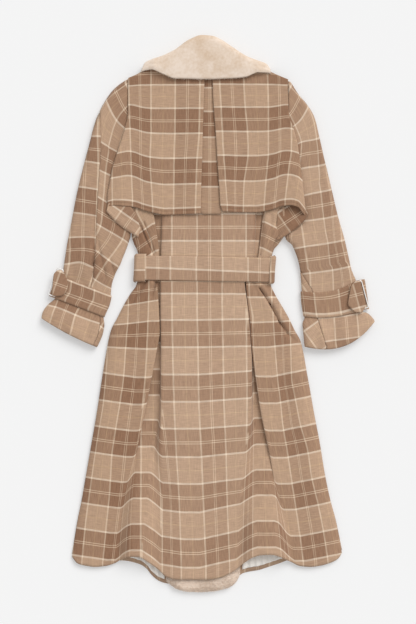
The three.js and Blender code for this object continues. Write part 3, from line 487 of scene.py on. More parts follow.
# ---- the body's outline --------------------------------------------------------------------
SIDES = table(
    "y left right",
    (576, -192, 193), (558, -191, 192), (485, -187, 190), (389, -182, 187), (293, -177, 184),
    (240, -177, 183), (185, -184, 183), (163, -178, 170), (149, -171, 158), (134, -167, 154),
    (70, -170, 150), (43, -187, 161), (14, -204, 178), (-14, -218, 194), (-43, -233, 208), (-72, -240, 223),
    (-158, -254, 239), (-259, -269, 256), (-331, -281, 269), (-403, -293, 280), (-475, -305, 294),
    (-523, -314, 306), (-610, -327, 322))
left_side = through(SIDES, "left")
right_side = through(SIDES, "right")
SHOULDER = table(
    "x front back",
    (-192, 559, 559), (-173, 567, 567), (-154, 574, 577), (-127, 573, 586), (-105, 571, 581),
    (-60, 568, 570), (0, 566, 568), (60, 568, 570), (101, 571, 579), (125, 573, 583), (150, 572, 574),
    (168, 566, 566), (192, 556, 556))
shoulder = through(SHOULDER, "back")
front_shoulder = through(SHOULDER, "front")
HEM = table(
    "x y",
    (-326, -586), (-312, -602), (-288, -608), (-271, -610), (-247, -608), (-223, -601), (-200, -587),
    (-180, -582), (-163, -583), (-145, -594), (-120, -614), (-98, -633), (-70, -639), (-10, -639),
    (22, -636), (58, -621), (82, -602), (106, -584), (127, -578), (150, -577), (170, -582), (197, -597),
    (221, -608), (245, -610), (269, -607), (293, -600), (312, -590), (321, -576))
hem_line = through(HEM, "y")


def shoulder_share(y):
    return np.clip((y - YOKE_Y) / (SHOULDER_Y - YOKE_Y), 0, 1)


def hem_share(y):
    return np.clip((HEM_RISE_FROM - y) / (HEM_RISE_FROM - HEM_BASE), 0, 1)


# ---- the fronts, underneath ----------------------------------------------------------------
FRONT_EDGE = 70       # how far past the middle each front reaches
LAP_CLEAR = 4         # how far from another piece's edge a ramp ends
LAP_RAMP = 26         # over what length one front climbs over the other
LAP_END = FRONT_EDGE + LAP_CLEAR
BELT_RAMP = 36        # over what length the cloth climbs over the belt
FRONT_HEM = table(
    "x y",
    (-327, -580), (-260, -596), (-206, -596), (-163, -605), (-146, -617), (-134, -632), (-115, -646),
    (-98, -651), (-40, -656), (60, -650), (80, -628), (101, -622), (120, -619), (149, -610), (173, -602),
    (197, -594), (260, -590), (322, -570))
front_hem = through(FRONT_HEM, "y")


def over_band(y):
    """How much the cloth rises where the belt passes under it."""
    bottom = BELT_BOTTOM - LAP_CLEAR
    top = BELT_TOP + LAP_CLEAR
    return STRAP_LIFT * ramp(y, bottom - BELT_RAMP, bottom) * (1 - ramp(y, top, top + BELT_RAMP))


def lap_climb(x):
    return ramp(x, -LAP_END - LAP_RAMP, -LAP_END)


def fronts_top(x, y):
    """The upper side of the two fronts, where they overlap and beside that."""
    over_lap = (WOOL + SEAM) * (lap_climb(x) - ramp(x, LAP_END, LAP_END + LAP_RAMP))
    return WOOL + over_band(y) + over_lap


FRONT_ROWS = 90
FRONT_COLUMNS = 60


def front(name, node, start, end, level):
    """One front, flat on the surface, with the other one's edge under or over it."""
    y = np.linspace(SHOULDER_Y, HEM_BASE, FRONT_ROWS)[:, None]
    u = np.linspace(0, 1, FRONT_COLUMNS)[None, :]
    x = mix(start(y), end(y), u)
    hem = hem_share(y) * (front_hem(x) - HEM_BASE)
    top = shoulder_share(y) * (front_shoulder(x) - SHOULDER_Y)
    lie = y + hem + top
    points = grid(x, lie, level(x, y))
    return wool_piece(name, node, points, on_check(x / WARP_REPEAT + 0.5, -y / WEFT_REPEAT))


front_right = front(
    "cloth_front_right", "front_right", lambda y: 0 * y - FRONT_EDGE, lambda y: right_side(y) - LOOSE,
    lambda x, y: WOOL / 2 + over_band(y) + 0 * x)
front_left = front(
    "cloth_front_left", "front_left", lambda y: left_side(y) + LOOSE, lambda y: 0 * y + FRONT_EDGE,
    lambda x, y: WOOL / 2 + over_band(y) + (WOOL + SEAM) * lap_climb(x))

# ---- lining and fur facing -----------------------------------------------------------------
LINING_TOP = -400
LINING_EDGE = 10      # how far the lining ends above the front's hem
LINING_LIFT = 1.4     # its gap to the front, in which its small pleats move
LINING_PLEATS = {"height": 1.3, "slant": 0.04, "width": 15, "start": 0.3}


def lining(name, node, start, end):
    """Satin in small pleats that start flat at the top."""
    v = np.linspace(0, 1, 50)[:, None]
    u = np.linspace(0, 1, 90)[None, :]
    x = mix(start, end, u)
    y = mix(LINING_TOP, front_hem(x) + LINING_EDGE, v)
    height, slant, width, fade = LINING_PLEATS.values()
    small_pleats = height * np.sin((x + slant * y) * 2 * math.pi / width) * ramp(v, 0, fade)
    points = grid(x, y, fronts_top(x, 0) + LINING_LIFT + SATIN / 2 + small_pleats)
    obj = wall(name, points, SATIN, on_check(x, y) / WARP_REPEAT, SATIN_LINING)
    return place_piece(obj, node)


lining_left = lining("satin_lining_left", "lining_left", LINING_LEFT, -104)
lining_right = lining("satin_lining_right", "lining_right", 82, 224)

FACING = table(
    "y left right", (470, -56, 46), (134, -92, 68), (70, -92, 68), (-200, -98, 74), (-610, -101, 77))
FACING_HEM = table(
    "x y",
    (-101, -645), (-90, -653), (-74, -663), (-50, -669), (-20, -670), (20, -667), (50, -659), (66, -648),
    (77, -628))
facing_hem = through(FACING_HEM, "y")
FACING_SQUEEZE = 4.2  # how much thinner the fur is pressed, from the belt up
FACING_RIM = 0.45     # share of the skin's thickness at its edges
FACING_FLUFF = 2      # how much of the fur's thickness is pile
SHOWN_ROWS = 22       # rows of the facing that show under the hem and get a pile
FACING_TURN = {"from": -430, "over": 180}   # where the straight hem starts to follow the curved one
FACING_HAIR = {"length": 3.4, "sunk": 0.5, "count": 26000, "lean": (0, -0.5, 0), "seed": 5}


def facing():
    """The fur facing: a skin all along the fronts, with a pile where it shows."""
    y = np.linspace(FACING["y"][-1], HEM_BASE, 120)[:, None]
    u = np.linspace(0, 1, 60)[None, :]
    x = mix(through(FACING, "left")(y), through(FACING, "right")(y), u)
    whole = PILE - FACING_SQUEEZE * ramp(y, BELT_BOTTOM - 90, BELT_BOTTOM - 30)
    thick = (whole - FACING_FLUFF) * mix(FACING_RIM, 1, np.minimum(1, 6 * np.minimum(u, 1 - u)))
    hem = np.clip((FACING_TURN["from"] - y) / FACING_TURN["over"], 0, 1) * (facing_hem(x) - HEM_BASE)
    lie = y + hem
    points = grid(x, lie, fronts_top(x, y) + LOOSE + thick / 2)
    return fur_piece(
        "fur_facing", "fur_facing", points, thick, FACING_HAIR, FACING_FUR, slice(-SHOWN_ROWS, None))


fur_facing, fur_facing_pile = facing()

# ---- the back ------------------------------------------------------------------------------
LEFT_FOLD = table(
    "y x half pull side strip",
    (320, -140, 12, 6, 12.5, 13.2), (262, -136, 5, 10, 13, 9), (240, -134, 2, 14, 14, 6.5),
    (134, -123, 0, 17, 14.7, 7), (70, -127, 0, 18, 14.7, 7), (0, -124, 0, 22, 15, 5),
    (-43, -122, 0, 22, 15.5, 5), (-91, -129, 0, 22, 16, 5), (-139, -138, 0, 22, 16, 5),
    (-211, -151, 0, 22, 16, 5), (-259, -161, 0, 20, 16, 5.4), (-307, -168, 1, 16, 15.5, 7),
    (-355, -174, 5, 11, 15, 11), (-403, -182, 9, 8, 14.5, 16), (-475, -192, 14, 11, 13, 24),
    (-547, -198, 17, 13, 11, 29), (-610, -201, 18, 14, 9.5, 32))
LEFT_STEP = table(
    "y x half pull",
    (320, -112, 8, 6), (240, -110, 2.5, 3), (70, -113, 2, 3), (0, -113, 2, 3), (-91, -112, 2, 3),
    (-211, -113, 2.5, 3), (-259, -115, 4, 5), (-331, -121, 9, 8), (-403, -124, 13, 11),
    (-475, -128, 16, 13), (-547, -134, 18, 14), (-610, -138, 20, 15))
RIGHT_FOLD = table(
    "y x half pull side strip",
    (320, 146, 12, 6, 12.5, 13.2), (262, 140, 5, 10, 13, 9), (240, 136, 2, 14, 14, 6.5),
    (134, 126, 0, 17, 14.7, 7), (70, 97, 0, 18, 14.7, 7), (29, 101, 0, 21, 15, 5), (-19, 107, 0, 22, 15, 5),
    (-67, 110, 0, 22, 15.5, 5), (-115, 115, 0, 22, 16, 5), (-163, 121, 0, 22, 16, 5),
    (-211, 128, 0, 22, 16, 5), (-259, 136, 0, 21, 16, 5), (-307, 145, 0, 18, 16, 6),
    (-355, 153, 1, 15, 15.5, 8.5), (-403, 158, 4, 11, 15, 13), (-451, 165, 7, 9, 14, 18),
    (-499, 173, 11, 10, 12.5, 24), (-547, 181, 15, 12, 11, 29), (-610, 188, 18, 14, 9.5, 32))
RIGHT_STEP = table(
    "y x half pull",
    (320, 118, 8, 6), (240, 114, 2.5, 3), (134, 109, 2, 3), (70, 87, 2, 3), (29, 92, 2, 3), (-19, 98, 2, 3),
    (-67, 101, 2, 3), (-115, 104, 2, 3), (-211, 105, 3, 4), (-283, 104, 6, 6), (-331, 101, 10, 8),
    (-403, 98, 13, 11), (-475, 95, 16, 13), (-547, 92, 18, 14), (-610, 90, 20, 15))
MIDDLE = table(
    "y z",
    (558, 13.4), (320, 13.5), (235, 13.7), (185, 15.2), (134, 15.7), (70, 15.7), (0, 18), (-43, 19),
    (-211, 20), (-331, 19.5), (-475, 18), (-610, 17.5))
ROLL = 24             # width of the rolled side edges
BACK_RIDGES = table(
    "x0 y0 x1 y1 width height",
    (-123, 74, -134, 38, 3, -9), (-150, 64, -166, 36, 5, 2.5), (-129, 66, -142, 30, 4, 2),
    (-176, 30, -196, -30, 9, 2), (-200, 8, -222, -60, 9, -1.6), (136, 56, 190, -30, 7, 2.6),
    (110, 70, 122, 40, 6, -2.6), (118, 62, 140, 10, 8, 1.6), (132, 236, 124, 134, 4, -5.5),
    (142, 200, 134, 134, 5, 2.4), (152, 230, 146, 150, 5, -3), (118, 230, 112, 140, 7, -1.6),
    (-163, 210, -130, 134, 3, -8), (-153, 213, -127, 140, 2.8, -6), (-150, 196, -138, 160, 6, 2),
    (-168, 190, -158, 140, 7, -2), (-60, -120, -72, -600, 34, 1.4), (46, -100, 52, -600, 34, -1.6),
    (-8, -260, -14, -620, 26, 1.2), (-30, 60, -34, -300, 30, 1.0), (30, 40, 36, -260, 24, -0.9),
    (70, -60, 76, -330, 16, 1.0), (-92, -40, -94, -300, 12, -0.8), (-215, -130, -262, -560, 20, 1.8),
    (206, -130, 262, -560, 20, 1.8), (-180, -120, -222, -480, 14, -1.2), (170, -100, 224, -500, 14, -1.4),
    (-250, -120, -296, -540, 12, -1.2), (240, -160, 290, -560, 10, -1.0), (-160, -300, -166, -600, 10, 2.0),
    (-120, -360, -128, -600, 10, -1.6), (104, -340, 108, -600, 10, -1.6), (140, -380, 146, -600, 14, 1.6),
    (-230, -60, -238, -140, 8, -1.8), (206, -60, 224, -150, 8, -1.8))

# Creases that run out over the side edges.
SIDE_CREASES = table(
    "x0 y0 x1 y1 width height",
    (124, 56, 150, 16, 2.8, -9), (148, 20, 172, -26, 2.8, -10), (170, -22, 190, -52, 3, -9),
    (190, -52, 210, -70, 4, -5), (132, 60, 158, 20, 5, 3.5), (156, 24, 180, -22, 5, 4),
    (178, -18, 196, -46, 5, 3.5), (132, 70, 148, 44, 4, -3), (-147, 74, -181, 18, 3, -11),
    (-136, 68, -160, 24, 6, 3.5), (-172, 60, -196, 20, 6, 2.5), (172, 214, 176, 244, 14, -7))
# Where the check's numbered lines lie on the parts of the back that show.
WARPS_LEFT = table(
    "y w7 w6 w5",
    (240, -298, -234, -170), (154, -262, -198, -134), (100, -240, -194, -140), (22, -235, -190, -142),
    (-90, -240, -197, -146), (-156, -244, -202, -150), (-220, -250, -211, -156), (-280, -260, -221, -162),
    (-343, -270, -230, -168), (-427, -282, -235, -180), (-500, -292, -242, -192), (-600, -302, -252, -205))
WARPS_LEFT_STRIP = table("y w4 w3", (240, -217, -160), (-600, -217, -160))
WARPS_MIDDLE = table(
    "y w2 w1 w0 e1 e2",
    (560, -146, -87, -26, 34, 91), (22, -146, -86, -26, 34, 91), (-91, -143, -84, -24, 36, 92),
    (-211, -141, -81, -22, 38, 93), (-331, -122, -76, -16, 43, 91), (-451, -109, -69, -11, 46, 86),
    (-600, -109, -64, -5, 52, 84))
WARPS_RIGHT_STRIP = table("y e3 e4", (240, 109, 160), (-380, 109, 160), (-600, 109, 176))
WARPS_RIGHT = table(
    "y e5 e6 e7 e8",
    (240, 137, 201, 265, 320), (216, 130, 194, 258, 315), (130, 106, 160, 208, 262),
    (53, 98, 152, 190, 246), (-19, 108, 156, 194, 240), (-79, 110, 160, 197, 244),
    (-154, 112, 166, 199, 250), (-211, 118, 173, 209, 260), (-271, 126, 179, 221, 272),
    (-331, 137, 189, 238, 284), (-391, 147, 198, 247, 292), (-463, 160, 209, 264, 306),
    (-523, 172, 218, 276, 318), (-600, 187, 228, 288, 330))
WEFTS = table(
    "v left left_strip middle_left middle_right right_strip right",
    (-6, 620, 620, 620, 620, 620, 620), (0, 235, 235, 235, 235, 235, 235),
    (1, 165, 170, 170, 170, 170, 165), (2, 92, 106, 106, 105, 106, 100), (3, 30, 44, 44, 43, 44, 35),
    (4, -21, -12, -19, -17, -12, -25), (5, -88, -74, -84, -82, -71, -84),
    (6, -156, -137, -149, -142, -132, -154), (7, -221, -199, -214, -207, -194, -218),
    (8, -283, -258, -278, -271, -254, -283), (9, -346, -322, -346, -336, -317, -348),
    (10, -406, -383, -410, -398, -377, -410), (11, -468, -444, -478, -458, -437, -472),
    (12, -528, -504, -542, -521, -497, -535), (13, -593, -566, -610, -588, -559, -595),
    (14, -658, -631, -675, -653, -624, -660))
WAVE_RISE = 9         # how far the middle panel's wefts rise beside the left wave
PLATE_FLAT = 85       # how far from the side seam the wefts start to rise
PLATE_SLOPE = table(
    "y left right",
    (134, -0.2, 0), (30, -0.19, 0), (-30, -0.12, 0.05), (-90, 0.06, 0.12), (-150, 0.13, 0.2),
    (-610, 0.14, 0.2))


def weft_number(zone, y):
    """How many half repeats down the cloth y is, in one zone of the back."""
    places = WEFTS[zone][::-1]
    numbers = WEFTS["v"][::-1]
    return np.interp(y, places, numbers)


def warp_number(rows, numbers, x, y):
    """How many half repeats across the cloth x is, at y."""
    lines = [through(rows, name)(y) for name in list(rows)[1:]]
    return between_lines(x, lines, numbers)


# Rows down the back: few under the flap, close ones round the belt and fewer again down the skirt.
BACK_ROWS = np.concatenate((
    np.linspace(SHOULDER_Y, 250, 22), np.linspace(246.5, -116, 104), np.linspace(-121, HEM_BASE, 88)))
# The back's parts from left to right.
BACK_PARTS = ("roll_left", "plate_left", "fold_left", "strip_left", "step_left", "panel", "step_right",
              "strip_right", "fold_right", "plate_right", "roll_right")
SIDE_GAP = 0.5        # gap to the fronts at the rolled side edges
SIDE_INSET = 0.4      # how far those edges stay inside the outline
ROLL_END = (190, 240)     # between these y the roll opens out
ROLL_AT = 1 - np.cos(np.linspace(0, 1, 9) * math.pi / 2)[None, :]
FOLD_AT = np.linspace(0, 1, 21)[None, :]
STEP_AT = np.linspace(0, 1, 11)[None, :]


def rolled(y):
    """How far the side edges are rolled down: fully from the waist to the hem."""
    return 1 - ramp(y, *ROLL_END)


def seam_level(y):
    """The level at which the rolled side edges lie on the fronts."""
    return fronts_top(left_side(y), y) + WOOL / 2 + SIDE_GAP


def back_parts(y):
    """The x and z of the back's parts, in the order of their names."""
    fold_left = columns_at(LEFT_FOLD, y)
    fold_right = columns_at(RIGHT_FOLD, y)
    rise = columns_at(LEFT_STEP, y)
    fall = columns_at(RIGHT_STEP, y)
    middle = through(MIDDLE, "z")(y)
    edge = (WOOL / 2) * rolled(y) + SIDE_INSET

    def curl(level, q):
        return mix(level, mix(seam_level(y), level, np.sqrt(1 - (1 - q) ** 2)), rolled(y))

    def between(a, b, count):
        t = np.linspace(0, 1, count + 2)[None, 1:-1]
        return tuple(mix(p[:, -1:], q[:, :1], t) for p, q in zip(a, b))

    roll_left = (left_side(y) + edge + ROLL_AT * ROLL, curl(fold_left["side"], ROLL_AT))
    low = step(fold_left, fold_left["side"], fold_left["strip"], FOLD_AT)
    up = step(rise, fold_left["strip"], middle, STEP_AT)
    down = step(fall, middle, fold_right["strip"], STEP_AT)
    high = step(fold_right, fold_right["strip"], fold_right["side"], FOLD_AT)
    inward = ROLL_AT[:, ::-1]
    roll_right = (right_side(y) - edge - inward * ROLL, curl(fold_right["side"], inward))
    return (
        roll_left, between(roll_left, low, 26), low, between(low, up, 7), up, between(up, down, 54), down,
        between(down, high, 7), high, between(high, roll_right, 26), roll_right)


BELT_FADE = (90, 134)     # between these y the check changes from the skirt's to the gathers'
# A weft line of the gathers above the belt: its place, how it slants and how far the next one is.
GATHERS_LEFT = {"x": -148, "y": 200, "slant": 0.7, "apart": 70}
GATHERS_RIGHT = {"x": 96, "slant": 0.5}
PANEL_BLEND = {"start": -20, "width": 97, "most": 1.35}   # from the panel's left wefts to its right ones


def back_check(x, y, lie, cut):
    """The check's numbers on the back. cut holds the columns of each part."""
    warps = np.zeros(x.shape)
    wefts = np.zeros(x.shape)
    gather = ramp(lie, *BELT_FADE)

    left = slice(0, cut["plate_left"].stop)
    xs = x[:, left]
    ys = lie[:, left]
    warps[:, left] = warp_number(WARPS_LEFT, (-7, -6, -5), xs, ys)
    droop = through(PLATE_SLOPE, "left")(y) * np.maximum(left_side(y) + PLATE_FLAT - xs, 0)
    line_x, line_y, slant, apart = GATHERS_LEFT.values()
    gathered = (line_y + (xs - line_x) * slant - ys) / apart
    wefts[:, left] = mix(weft_number("left", ys - droop), gathered, gather[:, left])

    right = slice(cut["plate_right"].start, None)
    xs = x[:, right]
    ys = lie[:, right]
    warps[:, right] = warp_number(WARPS_RIGHT, (5, 6, 7, 8), xs, ys)
    droop = through(PLATE_SLOPE, "right")(y) * np.maximum(xs - right_side(y) + PLATE_FLAT, 0)
    gathered = weft_number("middle_right", ys + GATHERS_RIGHT["slant"] * (xs - GATHERS_RIGHT["x"]))
    wefts[:, right] = mix(weft_number("right", ys - droop), gathered, gather[:, right])

    for part, zone, rows, numbers in (
            ("strip_left", "left_strip", WARPS_LEFT_STRIP, (-4, -3)),
            ("strip_right", "right_strip", WARPS_RIGHT_STRIP, (3, 4))):
        ys = lie[:, cut[part]]
        warps[:, cut[part]] = warp_number(rows, numbers, x[:, cut[part]], ys)
        wefts[:, cut[part]] = weft_number(zone, ys)

    panel = cut["panel"]
    xs = x[:, panel]
    ys = lie[:, panel]
    warps[:, panel] = warp_number(WARPS_MIDDLE, (-2, -1, 0, 1, 2), xs, ys)
    share = np.clip((xs - PANEL_BLEND["start"]) / PANEL_BLEND["width"], 0, PANEL_BLEND["most"])
    ys = ys - WAVE_RISE * ramp(-ys, 280, 560) * ramp(-xs, 50, 130)
    wefts[:, panel] = mix(weft_number("middle_left", ys), weft_number("middle_right", ys), share)

    for part in ("fold_left", "step_left", "step_right", "fold_right"):
        start = cut[part].start
        end = cut[part].stop
        t = np.linspace(0, 1, end - start)[None, :]
        warps[:, start:end] = mix(warps[:, start - 1:start], warps[:, end:end + 1], t)
        wefts[:, start:end] = mix(wefts[:, start - 1:start], wefts[:, end:end + 1], smooth(t))
    return on_check(warps, wefts)


PANEL_PAINTED_SHADE = 0.35     # share of painted shade on the panel at its hem; it darkens towards the bottom
# Painted shade on the back's other parts: deepest on the left side plate, its roll and its fold.
BACK_PAINTED_SHADES = {
    "roll_left": 1, "plate_left": 1, "fold_left": 1, "strip_left": 0.7, "step_left": 0.5, "step_right": 0.5,
    "strip_right": 0.7, "fold_right": 0.7, "plate_right": 0.7, "roll_right": 0.7}


def back():
    """The back, one wall from side to side and from the shoulders to the hem."""
    y = BACK_ROWS[:, None]
    parts = back_parts(y)
    x = np.concatenate([p[0] for p in parts], axis=1)
    z = np.concatenate([np.broadcast_to(p[1], p[0].shape) for p in parts], axis=1)
    hem = hem_share(y) * (hem_line(x[-1:]) - HEM_BASE)
    top = shoulder_share(y) * (shoulder(x) - SHOULDER_Y)
    lie = y + hem + top
    to_side = np.minimum(x - left_side(y), right_side(y) - x)
    ridges = relief(BACK_RIDGES, x, y) * ramp(to_side, 6, ROLL + 4)
    creases = relief(SIDE_CREASES, x, y) * ramp(to_side, 0.5, 8)
    points = grid(x, lie, np.maximum(z + (ridges + creases), np.minimum(z, seam_level(y))))
    ends = np.cumsum([0] + [p[0].shape[1] for p in parts])
    cut = {name: slice(ends[k], ends[k + 1]) for k, name in enumerate(BACK_PARTS)}
    # Painted shade per point: on the panel growing towards the hem, and fixed on each other part.
    tones = np.broadcast_to(PANEL_PAINTED_SHADE * ramp(-y, 150, 600), x.shape).copy()
    for part, tone in BACK_PAINTED_SHADES.items():
        tones[:, cut[part]] = tone
    return wool_piece("cloth_back", "back", points, back_check(x, y, lie, cut), tone=tones)


cloth_back = back()

# ---- the storm flap ------------------------------------------------------------------------
FLAP_LEFT = table(
    "y free fold",
    (558, -191, -7), (509, -191, -10), (466, -192, -11), (442, -197, -12), (398, -209, -13),
    (358, -221, -14), (329, -229, -15), (300, -234, -16), (262, -240, -17), (235, -240, -17))
FLAP_RIGHT = table(
    "y free fold",
    (558, 190, 10), (509, 191, 12), (466, 194, 15), (442, 202, 17), (396, 214, 20), (341, 221, 23),
    (288, 228, 27), (252, 232, 29), (235, 233, 34))
FLAP_HEM = table(
    "x y",
    (-240, 250), (-223, 254), (-199, 253), (-175, 250), (-151, 242), (-127, 236), (-103, 232), (-67, 233),
    (-17, 235), (34, 240), (77, 238), (113, 238), (137, 241), (161, 247), (173, 252), (197, 254),
    (214, 250), (223, 240), (233, 226))
flap_hem = through(FLAP_HEM, "y")
FLAP_BASE = 235
FLAP_LEVEL = 18.4
FLAP_RIDGES = table(
    "x0 y0 x1 y1 width height",
    (-120, 225, -118, 400, 34, 2.2), (-205, 250, -200, 420, 30, 4.5), (150, 245, 170, 420, 26, 3),
    (205, 248, 204, 330, 28, 10), (236, 222, 214, 330, 16, 4), (60, 235, 60, 420, 30, 1.4),
    (196, 250, 200, 420, 12, -1.2))
FLAP_WARPS_LEFT = table(
    "y w4 w3 w2 w1",
    (558, -190, -136, -78, -19), (430, -186, -136, -79, -21), (365, -184, -138, -81, -26),
    (250, -180, -132, -82, -30))
FLAP_WARPS_RIGHT = table(
    "y e2 e3 e4 e5",
    (558, 27, 84, 142, 196), (485, 31, 89, 144, 198), (437, 34, 94, 144, 199), (377, 37, 96, 144, 199),
    (341, 40, 91, 141, 194), (305, 42, 86, 138, 190), (250, 46, 84, 134, 184))
FLAP_WEFTS = table(
    "v left right",
    (-6, 597, 598), (-5, 542, 543), (-4, 486, 489), (-3, 426, 430), (-2, 368, 372), (-1, 306, 310),
    (0, 250, 251), (1, 190, 190))
FLAP_WAVE = {"left": (-187, 28, 9), "right": (188, 26, 6)}   # each wave's x, width and rise of the wefts
WAVE_TURN = 1.3       # at the shoulders the wave is turned round, and is 0.3 of its height
HEM_STITCH = 7        # how far above the edge the hem is stitched
STITCH_DEPTH = 0.8
STITCH_WIDTH = 1.6
PLEAT_RISE = 2.6      # how much higher the flap lies over the box pleat
SHOULDER_DROP = 1.6   # how much lower it lies at the ends of the shoulders


def flap(name, node, rows, warps, numbers, side):
    """One half of the storm flap, from the shoulder to its stitched hem."""
    base = np.concatenate((np.linspace(SHOULDER_Y, 252, 84), np.linspace(250, FLAP_BASE, 14)))[:, None]
    u = np.linspace(0, 1, 80)[None, :]
    free = through(rows, "free")(base)
    fold = through(rows, "fold")(base)
    x = mix(free, fold, u) if side == "left" else mix(fold, free, u)
    drop = np.clip((YOKE_Y - base) / (YOKE_Y - FLAP_BASE), 0, 1) * (flap_hem(x) - FLAP_BASE)
    high = base + shoulder_share(base) * (shoulder(x) - SHOULDER_Y - 1)
    lie = high + drop
    middle = PLEAT_RISE * (1 - ramp(np.abs(x), 40, 80))
    corner = SHOULDER_DROP * ramp(base, 440, 540) * ramp(np.abs(x), 105, 145)
    stitch = STITCH_DEPTH * np.exp(-(((base - FLAP_BASE - HEM_STITCH) / STITCH_WIDTH) ** 2))
    level = FLAP_LEVEL + middle + relief(FLAP_RIDGES, x, base) - corner - stitch
    across = warp_number(warps, numbers, x, base)
    centre, width, height = FLAP_WAVE[side]
    swell = height * np.exp(-(((x - centre) / width) ** 2))
    wave = swell * ramp(base, 235, 340) * (1 - WAVE_TURN * ramp(base, 490, 545))
    along = np.interp(high - wave, FLAP_WEFTS[side][::-1], FLAP_WEFTS["v"][::-1])
    # The flap is drawn with painted shade 0.85.
    return wool_piece(name, node, grid(x, lie, level), on_check(across, along), tone=0.85)


flap_left = flap(
    "cloth_flap_left", "storm_flap_left", FLAP_LEFT, FLAP_WARPS_LEFT, (-4, -3, -2, -1), "left")
flap_right = flap(
    "cloth_flap_right", "storm_flap_right", FLAP_RIGHT, FLAP_WARPS_RIGHT, (2, 3, 4, 5), "right")
UNDERLAY_REACH = 24   # how far the underlay goes under each half
UNDERLAY_LEVEL = 16.9
UNDERLAY_LINE = -25   # the x of one of its cream lines
UNDERLAY_SAG = 4      # how much further down it ends in its middle
UNDERLAY_WEFTS = table("y v", (231, 0), (299, -1), (359, -2), (417, -3), (479, -4), (535, -5), (595, -6))


def underlay():
    """The box pleat's underlay, a little longer in its middle than under the two halves."""
    y = np.linspace(565, 237, 60)[:, None]
    u = np.linspace(0, 1, 26)[None, :]
    start = through(FLAP_LEFT, "fold")(y) - UNDERLAY_REACH
    end = through(FLAP_RIGHT, "fold")(y) + UNDERLAY_REACH
    x = mix(start, end, u)
    hem = UNDERLAY_SAG * ramp(np.minimum(u, 1 - u), 0.18, 0.34) * ramp(y, 300, 237)
    across = (x - UNDERLAY_LINE) / WARP_REPEAT
    along = np.interp(y, UNDERLAY_WEFTS["y"], UNDERLAY_WEFTS["v"])
    points = grid(x, y - hem, UNDERLAY_LEVEL)
    # The underlay gets full painted shade, for the shade under the flap.
    return wool_piece("cloth_flap_pleat", "storm_flap_pleat", points, on_check(across, along), tone=1)


flap_pleat = underlay()

# ---- tubes ---------------------------------------------------------------------------------
RING_TURN = np.linspace(-math.pi / 2, math.pi / 2, 13)
UNDER_RUN = np.linspace(0.06, 0.94, 22)
TOP_RUN = UNDER_RUN[::-1]


def ring_of(row, grow=0.0, reach=None):
    """A flattened ring from an outer to an inner point along the underside and back over the top."""
    reach = grow if reach is None else reach
    length = np.hypot(row["ix"] - row["ox"], row["iy"] - row["oy"])
    ux = (row["ix"] - row["ox"]) / length
    uy = (row["iy"] - row["oy"]) / length
    base = row["low"] - grow
    top = row["high"] + grow
    start = -reach
    end = length + grow
    round_ = row["round"]
    half = (top - base) / 2
    sign = np.where(ux < 0, -1, 1)
    along = []
    level = []
    for t in UNDER_RUN:
        along.append(mix(start + round_, end - round_, t))
        level.append(base)
    for a in RING_TURN:
        along.append(end - round_ + round_ * math.cos(a))
        level.append((base + top) / 2 + half * math.sin(a))
    for t in TOP_RUN:
        along.append(mix(start + round_, end - round_, t))
        level.append(top)
    for a in RING_TURN[::-1]:
        along.append(start + round_ - round_ * math.cos(a))
        level.append((base + top) / 2 + half * math.sin(a))
    d = np.concatenate(along, axis=1)
    z = np.concatenate(level, axis=1)
    t = np.clip(d / length, 0, 1)
    out = row["bow"] * 4 * t * (1 - t)
    return grid(row["ox"] + ux * d + sign * uy * out, row["oy"] + uy * d - sign * ux * out, z)


STRAPPED = 9.8        # level of the sleeve's top under its strap
# How low and high each ring of a sleeve is and how round its edges are, the same for both sleeves.
SLEEVE_FORM = table(
    "at low high round",
    (0, 1.1, 14.2, 9), (1, 1.1, 14.3, 9), (2, 1.1, 14.4, 10), (3, 1.1, 14.8, 12), (4, 1.1, 15.2, 14),
    (5, 1.1, 15.4, 15), (6, 1.1, 15.6, 15), (7, 1.1, 16, 15), (8, 1.1, 16.5, 15), (9, 1.1, 14.5, 14),
    (10, 1.6, 11.5, 12), (11, 4, 9.8, 9), (12, 4, 9.8, 9), (13, 4, 9.8, 9), (14, 1.6, 13, 11),
    (15, 1.1, 16, 13), (16, 1.1, 17, 13))
# Each ring's outer and inner point and how far it bows between them, from the shoulder to the cuff.
SLEEVE_LEFT = table(
    "at ox oy ix iy bow",
    (0, -194, 557, -186, 186, 0), (1, -225, 533, -187, 184, 0), (2, -252, 494, -187, 181, 0),
    (3, -269, 456, -188, 177, 0), (4, -283, 403, -190, 172, 0), (5, -298, 346, -193, 163, 0),
    (6, -312, 288, -197, 149, 0), (7, -326, 216, -204, 132, 0), (8, -337, 158, -210, 116, 0),
    (9, -343, 120, -223, 91, 0), (10, -346, 98, -232, 62, 0), (11, -347, 84, -234, 41, 0),
    (12, -356, 58, -239, 18, 0), (13, -366, 32, -251, -12, 0), (14, -383, 17, -249, -30, 2),
    (15, -395, -1, -252, -50, 3), (16, -398, -15, -266, -84, 4)) | SLEEVE_FORM
SLEEVE_RIGHT = table(
    "at ox oy ix iy bow",
    (0, 195, 554, 188, 186, 0), (1, 211, 528, 188, 184, 0), (2, 236, 497, 188, 181, 0),
    (3, 254, 465, 189, 178, 0), (4, 267, 413, 190, 174, 0), (5, 281, 353, 195, 168, 0),
    (6, 295, 293, 201, 161, 0), (7, 310, 230, 208, 146, 0), (8, 326, 173, 215, 127, 0),
    (9, 336, 130, 220, 106, 0), (10, 343, 101, 223, 79, 6), (11, 353, 76, 225, 51, 13),
    (12, 359, 40, 227, 22, 10), (13, 365, 4, 232, -12, 9), (14, 384, -5, 227, -29, 15),
    (15, 398, -21, 229, -52, 22), (16, 397, -24, 232, -83, 30)) | SLEEVE_FORM
